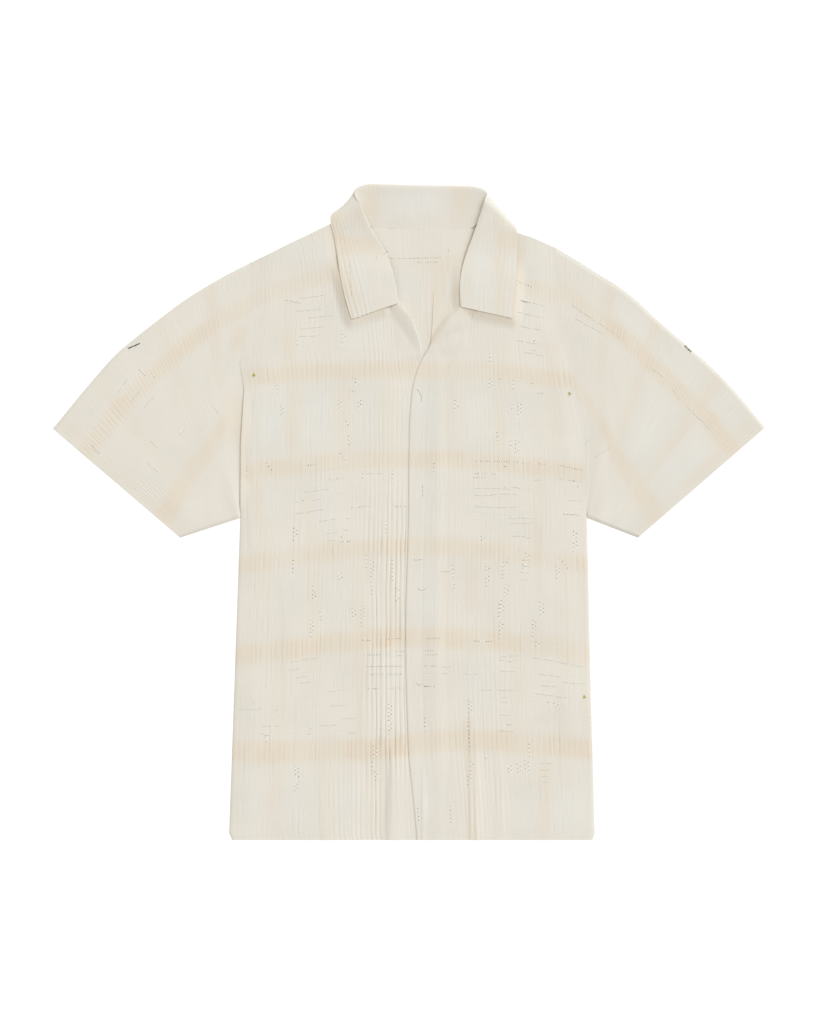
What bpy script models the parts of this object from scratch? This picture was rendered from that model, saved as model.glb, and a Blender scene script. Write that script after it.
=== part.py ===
"""Short-sleeve pleated shirt with an open collar, laid flat on its back.

+X is to the wearer's left, +Y towards the collar and +Z up from the surface. The origin is on the surface
under the middle of the whole garment. Every table below is in millimetres.
"""

import bpy
import numpy as np

MM = 0.001

# The cloth and how its layers stack
CLOTH = 1.2  # wall of one layer, with its fine pleats pressed in it
SEAM_GAP = 0.3
PLEAT_DEPTH = 0.8
PLEAT_WIDTH = 6.6  # from a ridge to the next valley
PUFF = 0.9  # how far a front stands off the back between its folds
PUFF_REACH = 25.0
LAYER = CLOTH + SEAM_GAP
FLAT_EDGE = 12.0  # beside the band and the hidden free edge the pleats lie flat
BACK_COLUMNS = 27
BAND_COLUMNS = 5

# Outer edges of the body, from the hem up: y, then x of the wearer's right side and of the left side
HEM_Y = -384.0
BODY_SIDES = (
    (HEM_Y, -207.0, 215.0),
    (-376.0, -210.5, 217.5),
    (-300.0, -207.8, 215.5),
    (-230.0, -205.3, 213.5),
    (-150.0, -202.5, 211.5),
    (-7.0, -197.5, 208.5),
)
RIGHT_ARMHOLE = (
    (-7.0, -197.5), (82.0, -197.0), (144.0, -193.0), (174.0, -198.0), (228.0, -184.5), (292.0, -185.0),
)
LEFT_ARMHOLE = (
    (-7.0, 208.5), (100.0, 205.0), (144.0, 194.5), (174.0, 190.0), (228.0, 173.5), (309.0, 172.0),
)

# Upper outlines, from the wearer's right to left: x, y
BACK_TOP = (
    (-185.0, 292.0), (-144.0, 312.0), (-91.0, 337.5), (-76.0, 341.5), (-60.0, 338.0), (-47.0, 334.0),
    (-22.0, 332.0), (13.0, 330.5), (54.0, 330.5), (75.0, 332.0), (88.0, 341.0), (98.0, 337.0),
    (125.0, 327.0), (144.0, 321.0), (172.0, 309.0),
)
FRONT_RIGHT_TOP = (
    (-185.0, 292.0), (-144.0, 312.0), (-91.0, 337.5), (-70.0, 343.0), (-62.0, 343.0), (-56.0, 318.0),
    (-47.0, 294.0), (-34.0, 267.0), (-16.0, 243.0), (7.0, 258.0),
)
FRONT_LEFT_TOP = (
    (29.0, 258.0), (61.0, 240.0), (70.0, 265.0), (80.0, 292.0), (88.0, 318.0), (92.0, 338.5), (98.0, 337.0),
    (125.0, 327.0), (144.0, 321.0), (172.0, 309.0),
)

# Free front edges from the hem up to the corner of the neckline: x, y
LEFT_FRONT_EDGE = (
    (9.5, HEM_Y), (6.0, -345.0), (0.0, -287.0), (-2.0, -239.0), (-4.0, -150.0), (-0.5, -7.0), (0.0, 63.0),
    (2.0, 124.0), (5.5, 151.0), (10.0, 167.0), (16.5, 181.0), (24.5, 195.0), (26.5, 210.0), (28.0, 236.0),
    (28.6, 247.0), (29.0, 258.0),
)
RIGHT_FRONT_EDGE = (
    (30.0, HEM_Y), (29.0, -345.0), (28.0, -287.0), (28.0, -239.0), (27.0, -150.0), (28.0, -7.0), (28.0, 63.0),
    (26.0, 124.0), (22.0, 150.0), (17.5, 172.0), (14.0, 186.0), (12.0, 199.0), (10.0, 221.0), (8.0, 241.0),
    (7.5, 250.0), (7.0, 258.0),
)
BAND_WIDTH = 19.0
BAND_BENDS_Y = 195.0  # above this the band's rows slope with the neckline
UNDERLAP_X = -6.0  # from here to its edge the right front lies under the left one
LAPPED_TO_X, UNLAPPED_FROM_X = 31.0, 46.0  # between these the left front comes down to the back
LAPPED_TO_Y, UNLAPPED_FROM_Y = 188.0, 200.0

# The soft roll of each front round the neck: y, x, how far it stands up, and its reach towards the neck
RIGHT_ROLL = (
    (186.0, 12.5, 0.0, 2.0),
    (199.0, 9.0, 2.0, 3.0),
    (221.0, 0.0, 3.5, 10.0),
    (243.0, -16.0, 4.0, 30.0),
    (267.0, -34.0, 3.4, 42.0),
    (318.0, -56.0, 1.6, 20.0),
    (343.0, -62.0, 0.3, 20.0),
)
LEFT_ROLL = (
    (185.0, 20.0, 0.0, 2.0),
    (199.0, 27.0, 1.5, 2.0),
    (221.0, 42.0, 3.5, 20.0),
    (240.0, 61.0, 4.0, 44.0),
    (265.0, 70.0, 3.4, 52.0),
    (318.0, 88.0, 1.6, 20.0),
    (340.0, 92.0, 0.3, 20.0),
)
ROLL_REACH = 42.0  # on the side away from the neck

# Largest folds of the fronts: x at the hem, x and y of the upper end, half width, depth
FOLDS = (
    (-26.5, -22.0, -287.0, 7.0, 1.4),
    (74.0, 72.0, -212.0, 6.0, 1.6),
    (104.0, 102.0, -273.0, 4.5, 1.0),
)

# The collar, a row for each section from the right leaf round the back of the neck to the left leaf:
# seam x, y, z; crease x, y, z; outer edge x, y, z; half height of the turn (above 0 where the stand is on top)
COLLAR_SECTIONS = (
    (-19.0, 241.5, 8.6, -13.0, 244.0, 10.4, -67.0, 225.5, 7.2, -1.0),
    (-29.0, 258.5, 8.3, -15.0, 262.0, 10.6, -75.0, 252.5, 6.9, -1.3),
    (-39.0, 277.0, 7.6, -20.5, 285.5, 10.4, -81.0, 281.5, 6.8, -1.5),
    (-50.0, 297.0, 7.8, -29.0, 306.5, 10.0, -85.0, 307.0, 6.8, -1.5),
    (-58.0, 316.0, 7.2, -40.0, 324.0, 9.8, -88.5, 326.0, 7.2, -1.5),
    (-62.0, 331.0, 6.6, -49.0, 341.5, 9.6, -91.5, 338.0, 7.0, -1.0),
    (-60.5, 347.0, 5.6, -56.0, 358.0, 9.0, -91.0, 347.5, 3.4, -0.2),
    (-54.0, 342.5, 3.9, -64.0, 375.0, 4.2, -81.0, 351.0, 0.6, 1.4),
    (-43.5, 335.0, 2.4, -50.5, 383.4, 2.8, -59.0, 326.0, 0.6, 2.0),
    (-22.0, 333.0, 2.1, -24.5, 383.4, 2.8, -29.0, 321.5, 0.6, 2.0),
    (13.0, 331.5, 2.1, 13.0, 382.5, 2.8, 13.0, 320.5, 0.6, 2.0),
    (50.5, 331.5, 2.1, 53.0, 382.0, 2.8, 57.0, 321.5, 0.6, 2.0),
    (72.5, 333.0, 2.4, 79.5, 380.5, 2.8, 88.0, 326.0, 0.6, 2.0),
    (82.0, 340.5, 3.9, 91.0, 374.5, 4.2, 109.0, 348.0, 0.6, 1.4),
    (88.5, 345.0, 5.6, 88.5, 365.0, 9.0, 120.5, 339.0, 3.4, -0.2),
    (94.0, 333.0, 6.6, 84.0, 351.0, 9.6, 126.0, 329.0, 7.0, -1.0),
    (92.0, 318.0, 7.2, 76.5, 328.0, 9.8, 127.5, 315.0, 7.2, -1.5),
    (86.0, 298.0, 7.8, 67.5, 303.0, 10.0, 126.5, 296.0, 6.8, -1.5),
    (79.0, 280.0, 7.6, 61.5, 282.0, 10.4, 125.5, 275.0, 6.8, -1.5),
    (72.0, 261.0, 8.3, 59.5, 261.5, 10.6, 123.5, 251.5, 6.9, -1.3),
    (66.0, 240.5, 8.6, 60.5, 240.0, 10.4, 121.0, 226.5, 7.2, -1.0),
)
CREASE_WIDTH = 2.2

# The back and fronts pass over the collar's fall: y where they begin to rise and y of full height
RISE_FROM_Y, RISE_TO_Y = 262.0, 298.0

# The inside of the back that shows in the neck: its middle, half width and lower edge, and how far it fades
NECK_X, NECK_HALF_WIDTH, NECK_Y = 20.0, 40.0, 262.0
NECK_FADE_X, NECK_FADE_Y = 20.0, 12.0

# Sleeves: the upper edge from shoulder to cuff, x, y, and the lower end of the cuff
RIGHT_SLEEVE_TOP = (
    (-185.0, 292.0), (-207.0, 281.0), (-232.0, 267.0), (-264.0, 247.0), (-294.0, 224.5), (-322.0, 202.5),
    (-340.5, 187.0), (-366.0, 159.0), (-417.0, 97.5),
)
RIGHT_CUFF_END = (-268.0, -30.0)
LEFT_SLEEVE_TOP = (
    (172.0, 309.0), (193.0, 296.5), (220.0, 279.5), (243.0, 265.5), (267.0, 247.0), (292.0, 223.5),
    (319.5, 200.0), (334.5, 187.0), (368.5, 155.5), (417.0, 99.0),
)
LEFT_CUFF_END = (268.0, -30.0)
SLEEVE_RINGS = 24
SLEEVE_HEIGHT = 3.4
SLEEVE_GAP = 1.4 * SEAM_GAP  # along x, because the armholes slant

CREAM = (0.78, 0.74, 0.66, 1.0)
PEACH = (0.79, 0.72, 0.62, 1.0)


def smooth(value):
    """0 below 0, 1 above 1 and an even S between."""
    value = np.clip(value, 0, 1)
    return value * value * (3 - 2 * value)


def rise(y):
    """Height that the layers gain to pass over the collar's fall."""
    return LAYER * smooth((y - RISE_FROM_Y) / (RISE_TO_Y - RISE_FROM_Y))


def side_points(armhole):
    """Outer edge of the body on one side, from the hem to the shoulder, as x, y."""
    column = 1 if armhole is RIGHT_ARMHOLE else 2
    below = [(row[column], row[0]) for row in BODY_SIDES[:-1]]
    heights, places = np.array(armhole).T
    rows = np.sort(np.concatenate([heights, (heights[:-1] + heights[1:]) / 2]))
    return np.vstack([below, np.stack([np.interp(rows, heights, places), rows], axis=1)])


def panel_grid(first, last, top, columns):
    """x and y of a panel's points: rows follow both side edges, columns run with the pleats from hem to top."""
    first, last, top = np.array(first), np.array(last), np.array(top)
    across = np.linspace(0, 1, columns)
    x = np.outer(first[:, 0], 1 - across) + np.outer(last[:, 0], across)
    share_first = (first[:, 1] - HEM_Y) / (first[-1, 1] - HEM_Y)
    share_last = (last[:, 1] - HEM_Y) / (last[-1, 1] - HEM_Y)
    share = np.outer(share_first, 1 - across) + np.outer(share_last, across)
    y = HEM_Y + share * (np.interp(x[-1], top[:, 0], top[:, 1]) - HEM_Y)
    return x, y


def neck_roll(x, y, table, side):
    """Height of a front's soft roll, and how open its pleats are there, from 0 on the roll to 1 well away.

    side is 1 where the neck lies towards +X, or -1.
    """
    heights, places, stands, reaches = np.array(table).T
    away = (x - np.interp(y, heights, places)) * side
    reach = np.where(away > 0, np.interp(y, heights, reaches), ROLL_REACH)
    near = 1 - smooth(np.abs(away) / reach)
    return np.interp(y, heights, stands) * near, 1 - near * smooth((y - heights[0]) / ROLL_REACH)


def folds(x, y):
    """Depth of the largest folds at each point."""
    depth = np.zeros_like(x)
    for hem_x, end_x, end_y, half_width, deep in FOLDS:
        along = np.clip((y - HEM_Y) / (end_y - HEM_Y), 0, 1)
        middle = hem_x + (end_x - hem_x) * along
        depth += deep * (1 - smooth(np.abs(x - middle) / half_width)) * smooth(3 * (1 - along))
    return depth


def wall_mesh(name, under, over, around=False):
    """A closed wall between two grids of points, rows by columns. around joins the last column to the first."""
    rows, columns, _ = under.shape
    points = np.concatenate([under.reshape(-1, 3), over.reshape(-1, 3)]) * MM
    index = np.arange(rows * columns).reshape(rows, columns)
    if around:
        index = np.hstack([index, index[:, :1]])
    a, b, c, d = index[:-1, :-1], index[:-1, 1:], index[1:, 1:], index[1:, :-1]
    upper = np.stack([a, b, c, d], axis=-1).reshape(-1, 4) + rows * columns
    lower = np.stack([a, d, c, b], axis=-1).reshape(-1, 4)
    if around:
        borders = [index[0], index[-1][::-1]]
    else:
        borders = [np.concatenate([index[0], index[1:, -1], index[-1, -2::-1], index[-2::-1, 0]])]
    strips = [
        np.stack([line[:-1], line[1:], line[1:] + rows * columns, line[:-1] + rows * columns], axis=-1)
        for line in borders
    ]
    mesh = bpy.data.meshes.new(name)
    mesh.from_pydata(points.tolist(), [], np.concatenate([upper, lower, *strips]).tolist())
    mesh.update()
    return mesh


def sheet_mesh(name, grid):
    """An open sheet through a grid of points, rows by columns."""
    rows, columns, _ = grid.shape
    index = np.arange(rows * columns).reshape(rows, columns)
    a, b, c, d = index[:-1, :-1], index[:-1, 1:], index[1:, 1:], index[1:, :-1]
    faces = np.stack([a, b, c, d], axis=-1).reshape(-1, 4)
    mesh = bpy.data.meshes.new(name)
    mesh.from_pydata((grid.reshape(-1, 3) * MM).tolist(), [], faces.tolist())
    mesh.update()
    return mesh


def cloth_material(name, colour):
    material = bpy.data.materials.new(name)
    material.use_nodes = True
    shader = material.node_tree.nodes["Principled BSDF"]
    shader.inputs["Base Color"].default_value = colour
    shader.inputs["Roughness"].default_value = 0.85
    shader.inputs["Metallic"].default_value = 0.0
    return material


def add_piece(collection, name, mesh, colour):
    mesh.materials.append(cloth_material(name + "_cloth", colour))
    piece = bpy.data.objects.new(name, mesh)
    collection.objects.link(piece)
    return piece


def make_back(collection):
    """One flat panel. Its pleats stand up only on the inner face, so that it rests flat."""
    x, y = panel_grid(side_points(RIGHT_ARMHOLE), side_points(LEFT_ARMHOLE), BACK_TOP, BACK_COLUMNS)
    under = rise(y)
    shown = smooth((y - NECK_Y) / NECK_FADE_Y) * smooth((NECK_HALF_WIDTH - np.abs(x - NECK_X)) / NECK_FADE_X)
    pleats = 0.5 * PLEAT_DEPTH * (np.arange(x.shape[1]) % 2) * shown
    lower, upper = np.stack([x, y, under], axis=-1), np.stack([x, y, under + CLOTH + pleats], axis=-1)
    mesh = wall_mesh("back", lower, upper)
    return add_piece(collection, "back", mesh, CREAM)


def front_wall(name, x, y, under):
    """A wall of the cloth's thickness over the heights of its underside."""
    return wall_mesh(name, np.stack([x, y, under], axis=-1), np.stack([x, y, under + CLOTH], axis=-1))


def make_front_right(collection):
    width = RIGHT_FRONT_EDGE[0][0] - BODY_SIDES[0][1]
    side = side_points(RIGHT_ARMHOLE)
    x, y = panel_grid(side, RIGHT_FRONT_EDGE, FRONT_RIGHT_TOP, round(width / PLEAT_WIDTH) + 1)
    roll, open_pleats = neck_roll(x, y, RIGHT_ROLL, 1)
    open_cloth = open_pleats * smooth((x - side[:, :1]) / PUFF_REACH) * smooth((UNDERLAP_X - x) / FLAT_EDGE)
    ridges = np.arange(x.shape[1]) % 2
    under = LAYER + rise(y) + roll
    under += open_cloth * (PUFF - np.minimum(folds(x, y), PUFF)) + open_cloth * PLEAT_DEPTH * ridges
    return add_piece(collection, "front_right", front_wall("front_right", x, y, under), CREAM)


def left_front_height(x, y):
    """Underside of the overlapping front: it climbs on to the other front, then sinks into the open neck."""
    lapped = 1 - smooth((x - LAPPED_TO_X) / (UNLAPPED_FROM_X - LAPPED_TO_X))
    lapped *= 1 - smooth((y - LAPPED_TO_Y) / (UNLAPPED_FROM_Y - LAPPED_TO_Y))
    return LAYER * (1 + lapped) + rise(y) + neck_roll(x, y, LEFT_ROLL, -1)[0]


def band_seam():
    """The line where the band meets the left front: the free edge moved in by the band's width."""
    x, y = np.array(LEFT_FRONT_EDGE).T
    x = x + BAND_WIDTH
    top_y = np.interp(x[-1], *np.array(FRONT_LEFT_TOP).T)
    squeeze = (top_y - BAND_BENDS_Y) / (y[-1] - BAND_BENDS_Y)
    y = np.where(y > BAND_BENDS_Y, BAND_BENDS_Y + (y - BAND_BENDS_Y) * squeeze, y)
    return np.stack([x, y], axis=1)


def make_front_band(collection):
    seam = band_seam()
    seam[:, 0] -= SEAM_GAP
    x, y = panel_grid(LEFT_FRONT_EDGE, seam, FRONT_LEFT_TOP, BAND_COLUMNS)
    return add_piece(collection, "front_band", front_wall("front_band", x, y, left_front_height(x, y)), PEACH)


def make_front_left(collection):
    side = side_points(LEFT_ARMHOLE)
    seam = band_seam()
    width = side[0, 0] - seam[0, 0]
    x, y = panel_grid(seam, side, FRONT_LEFT_TOP, round(width / PLEAT_WIDTH) + 1)
    open_cloth = neck_roll(x, y, LEFT_ROLL, -1)[1]
    open_cloth = open_cloth * smooth((side[:, :1] - x) / PUFF_REACH) * smooth((x - seam[:, :1]) / FLAT_EDGE)
    ridges = np.arange(x.shape[1]) % 2
    under = left_front_height(x, y)
    under += open_cloth * (PUFF - np.minimum(folds(x, y), PUFF)) + open_cloth * PLEAT_DEPTH * ridges
    return add_piece(collection, "front_left", front_wall("front_left", x, y, under), CREAM)


def make_sleeve(collection, name, armhole, top, cuff_end):
    """A flattened tube of rings from the armhole to the cuff: lower wall, fold, upper wall, fold.

    The first ring follows the armhole's curve, and the others soon straighten.
    """
    heights, places = np.array(armhole).T
    top, cuff_end = np.array(top), np.array(cuff_end)
    away = np.sign(cuff_end[0])
    underarm = np.array([places[0], heights[0]])
    shares = (heights[1:-1] - heights[0]) / (heights[-1] - heights[0])
    lengths = np.concatenate([[0], np.cumsum(np.linalg.norm(np.diff(top, axis=0), axis=1))])
    outer, inner = [], []
    for ring in range(SLEEVE_RINGS):
        part = ring / (SLEEVE_RINGS - 1)
        upper_end = np.array([np.interp(part * lengths[-1], lengths, top[:, axis]) for axis in (0, 1)])
        lower_end = underarm + (cuff_end - underarm) * part**1.5
        length = np.linalg.norm(upper_end - lower_end)
        height = 2 * CLOTH + SEAM_GAP
        if ring:
            height = SLEEVE_HEIGHT + PLEAT_DEPTH * (ring % 2)
        for loop, wall in ((outer, 0.0), (inner, CLOTH)):
            turn = height / 2 + wall / 2
            along = np.concatenate([[turn / length], shares, [1 - turn / length]])
            around = np.concatenate([along, [1 - wall / length], along[::-1], [wall / length]])
            low, high = np.full(len(along), wall), np.full(len(along), height - wall)
            z = np.concatenate([low, [height / 2], high, [height / 2]])
            x = lower_end[0] + (upper_end[0] - lower_end[0]) * around
            y = lower_end[1] + (upper_end[1] - lower_end[1]) * around
            seam_y = heights[0] + (heights[-1] - heights[0]) * around
            straight = places[0] + (places[-1] - places[0]) * around
            x = x + (np.interp(seam_y, heights, places) - straight) * (1 - part) ** 3
            loop.append(np.stack([x + away * SLEEVE_GAP, y, z], axis=-1))
    mesh = wall_mesh(name, np.array(inner), np.array(outer), around=True)
    if away < 0:
        mesh.flip_normals()
    return add_piece(collection, name, mesh, CREAM)


def make_collar(collection):
    """A folded sheet: stand, turn and fall at each section, with Solidify for its wall."""
    rows = []
    for row in COLLAR_SECTIONS:
        seam, crease, edge = np.array(row[0:3]), np.array(row[3:6]), np.array(row[6:9])
        turn = row[9]
        to_seam, to_edge = seam - crease, edge - crease
        to_seam[2] = to_edge[2] = 0
        to_seam /= np.linalg.norm(to_seam)
        to_edge /= np.linalg.norm(to_edge)
        up = np.array([0, 0, 1])
        stand_top = crease + to_seam * CREASE_WIDTH + up * turn
        fall_top = crease + to_edge * CREASE_WIDTH - up * turn
        points = [seam]
        points += [seam + (stand_top - seam) * part for part in (0.4, 0.75)]
        points += [stand_top, crease, fall_top]
        points += [fall_top + (edge - fall_top) * part for part in (0.25, 0.5, 0.75)]
        points += [edge]
        rows.append(points)
    piece = add_piece(collection, "collar", sheet_mesh("collar", np.array(rows)), CREAM)
    wall = piece.modifiers.new("wall", "SOLIDIFY")
    wall.thickness = CLOTH * MM
    wall.offset = 0.0
    return piece


def main():
    for thing in list(bpy.data.objects):
        bpy.data.objects.remove(thing, do_unlink=True)
    collection = bpy.data.collections.new("pleated_shirt")
    bpy.context.scene.collection.children.link(collection)
    make_back(collection)
    make_front_right(collection)
    make_front_band(collection)
    make_front_left(collection)
    make_sleeve(collection, "sleeve_right", RIGHT_ARMHOLE, RIGHT_SLEEVE_TOP, RIGHT_CUFF_END)
    make_sleeve(collection, "sleeve_left", LEFT_ARMHOLE, LEFT_SLEEVE_TOP, LEFT_CUFF_END)
    make_collar(collection)


main()
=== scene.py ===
import math

import bpy
import numpy as np
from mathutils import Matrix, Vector


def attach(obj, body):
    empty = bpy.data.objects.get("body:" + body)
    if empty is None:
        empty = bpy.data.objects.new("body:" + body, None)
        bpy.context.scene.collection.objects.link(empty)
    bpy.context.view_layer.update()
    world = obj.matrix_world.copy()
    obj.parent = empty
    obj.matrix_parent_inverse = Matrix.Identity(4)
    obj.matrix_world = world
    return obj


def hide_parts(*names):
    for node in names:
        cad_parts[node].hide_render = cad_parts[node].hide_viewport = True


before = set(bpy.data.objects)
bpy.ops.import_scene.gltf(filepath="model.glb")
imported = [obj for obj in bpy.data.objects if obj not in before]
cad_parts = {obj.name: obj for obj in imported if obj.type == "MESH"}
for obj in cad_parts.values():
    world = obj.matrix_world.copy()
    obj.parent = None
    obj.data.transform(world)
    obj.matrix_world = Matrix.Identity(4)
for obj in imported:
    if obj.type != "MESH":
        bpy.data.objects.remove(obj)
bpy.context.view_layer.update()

# Short-sleeve shirt in fine pressed pleats, laid flat on its back.
# Tables are in millimetres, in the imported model's frame: +X to the wearer's left, +Y to the collar, +Z up.

mm = 0.001

cloth = {
    "wall": 0.7,          # thickness of one layer
    "layer": 1.5,         # how far one layer lifts the next
    "pitch": 5.7,         # from one pleat's valley to the next
    "hemY": -384.0,
}


def ease(value):
    # 0 below 0, 1 above 1, and between them the even S curve 3v2 - 2v3
    value = np.clip(value, 0, 1)
    return value * value * (3 - 2 * value)


def bell(value):
    # 1 at 0, falling to 0 at 1 on either side
    return 1 - ease(np.abs(value))


def curveAt(at, knots, values):
    # smooth curve through a table: a cubic between each two knots, its slopes taken from the neighbours
    knots, values = np.asarray(knots, float), np.asarray(values, float)
    slopes = np.gradient(values, knots, axis=0)
    at = np.clip(at, knots[0], knots[-1])
    place = np.clip(np.searchsorted(knots, at, side="right") - 1, 0, len(knots) - 2)
    span = knots[place + 1] - knots[place]
    t = (at - knots[place]) / span
    if values.ndim > 1:
        shape = t.shape + (1,) * (values.ndim - 1)
        t, span = t.reshape(shape), span.reshape(shape)
    a, b = values[place], values[place + 1]
    slopeA, slopeB = slopes[place] * span, slopes[place + 1] * span
    return (a * (2 * t**3 - 3 * t**2 + 1) + slopeA * (t**3 - 2 * t**2 + t)
            + b * (3 * t**2 - 2 * t**3) + slopeB * (t**3 - t**2))


def cloud(seed, x, y, lengthX, lengthY, octaves=2):
    # soft noise from about -1 to 1: random heights on a lattice joined by S curves, halved at each octave
    rng = np.random.default_rng(seed)
    x, y = np.broadcast_arrays(np.asarray(x, float), np.asarray(y, float))
    total = np.zeros(x.shape)
    for octave in range(octaves):
        table = rng.uniform(-1, 1, (64, 64))
        gx, gy = x / lengthX * 2**octave + 500.3, y / lengthY * 2**octave + 500.7
        ix, iy = np.floor(gx).astype(int), np.floor(gy).astype(int)
        fx, fy = ease(gx - ix), ease(gy - iy)
        low = table[ix % 64, iy % 64] * (1 - fx) + table[(ix + 1) % 64, iy % 64] * fx
        high = table[ix % 64, (iy + 1) % 64] * (1 - fx) + table[(ix + 1) % 64, (iy + 1) % 64] * fx
        total += (low * (1 - fy) + high * fy) / 2**octave
    return total


# Pleats

pleats = {
    "steps": (0.0, 0.1, 0.3, 0.5, 0.7, 0.9),   # where points stand across one pleat
    "crest": 0.6,          # below 1 the crest is broad and the valley narrow
    "jitter": 0.34,        # largest change in a pleat's width, as a share of it
    "cell": 7.3,           # size of a cell of noise, one to each pleat, so that each has its own value
    "slowRun": 45.0,       # mm along a pleat over which an open one fades and comes back
    "shortRun": 34.0,      # and the length of the runs that show in quiet cloth
}


def pleatColumns(seed, width):
    # shares of a panel's width at which its columns stand, and the pleat count there
    rng = np.random.default_rng(seed)
    count = round(width / cloth["pitch"])
    widths = 1 + rng.uniform(-pleats["jitter"], pleats["jitter"], count)
    starts = np.concatenate([[0], np.cumsum(widths)])
    steps = np.array(pleats["steps"])
    phase = np.append((np.arange(count)[:, None] + steps).ravel(), count)
    return np.interp(phase, np.arange(count + 1), starts / starts[-1]), phase


def pleatCrest(phase):
    # height across a pleat, 0 in the valley and 1 on the crest: a power of the sine
    return np.abs(np.sin(np.pi * phase)) ** pleats["crest"]


def pleatStrength(seed, phase, along, opened, quiet):
    # where the cloth stands open every pleat shows, fading slowly. Elsewhere only short runs of a few do
    cell = pleats["cell"]
    number = np.floor(phase) * cell
    slow = np.clip(0.68 + 0.65 * cloud(seed, number, along, cell, pleats["slowRun"]), 0.06, 1.35)
    runs = ease((cloud(seed + 1, number, along, cell, pleats["shortRun"]) - 0.15) / 0.7)
    opened = np.clip(opened, 0, 1)
    return opened * slow + (1 - opened) * quiet * (0.12 + 1.5 * runs)


# Meshes

def gridFaces(rows, columns, around):
    # faces of four corners over a grid of points; around joins each row's last point to its first
    index = np.arange(rows * columns).reshape(rows, columns)
    if around:
        index = np.hstack([index, index[:, :1]])
    corners = index[:-1, :-1], index[:-1, 1:], index[1:, 1:], index[1:, :-1]
    return np.stack(corners, axis=-1).reshape(-1, 4), index


def meshFrom(name, points, faces):
    # a mesh object from points in metres and faces of four corners, turned outward if its volume is negative
    a, b, c, d = (points[faces[:, k]] for k in range(4))
    volume = np.einsum("ij,ij->i", a, np.cross(b, c)).sum() + np.einsum("ij,ij->i", a, np.cross(c, d)).sum()
    if volume < 0:
        faces = faces[:, ::-1]
    mesh = bpy.data.meshes.new(name)
    mesh.vertices.add(len(points))
    mesh.vertices.foreach_set("co", points.astype(np.float32).ravel())
    mesh.loops.add(faces.size)
    mesh.loops.foreach_set("vertex_index", faces.astype(np.int32).ravel())
    mesh.polygons.add(len(faces))
    mesh.polygons.foreach_set("loop_start", np.arange(0, faces.size, 4, dtype=np.int32))
    mesh.update(calc_edges=True)
    mesh.shade_smooth()
    piece = bpy.data.objects.new(name, mesh)
    bpy.context.scene.collection.objects.link(piece)
    return piece, faces


def shell(name, outer, inner, uv, masks, around=False):
    # closed wall between two grids of points: both sheets and a strip along each free border
    rows, columns = outer.shape[:2]
    count = rows * columns
    sheet, index = gridFaces(rows, columns, around)
    if around:
        borders = [index[0], index[-1][::-1]]
    else:
        borders = [np.concatenate([index[0], index[1:, -1], index[-1, -2::-1], index[-2::-1, 0]])]
    strips = [np.stack([b[:-1], b[:-1] + count, b[1:] + count, b[1:]], axis=-1) for b in borders]
    faces = np.concatenate([sheet, sheet[:, ::-1] + count, *strips])
    points = np.concatenate([outer.reshape(-1, 3), inner.reshape(-1, 3)]) * mm
    piece, faces = meshFrom(name, points, faces)
    flat = np.concatenate([uv.reshape(-1, 2), uv.reshape(-1, 2)]) * mm
    layer = piece.data.uv_layers.new(name="cloth")
    layer.uv.foreach_set("vector", flat[faces.ravel()].astype(np.float32).ravel())
    tint = piece.data.color_attributes.new("clothMasks", "FLOAT_COLOR", "POINT")
    tint.data.foreach_set("color", np.tile(masks.reshape(-1, 4), (2, 1)).astype(np.float32).ravel())
    piece.data.set_sharp_from_angle(angle=math.radians(62))
    return piece


def normalsOf(points):
    # unit normals of a grid, from the cross product of its two directions
    across, along = np.gradient(points, axis=1), np.gradient(points, axis=0)
    normal = np.cross(across, along)
    return normal / np.maximum(np.linalg.norm(normal, axis=2, keepdims=True), 1e-9)


# Check of the cloth: soft peach bands, worked out for each point

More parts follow.
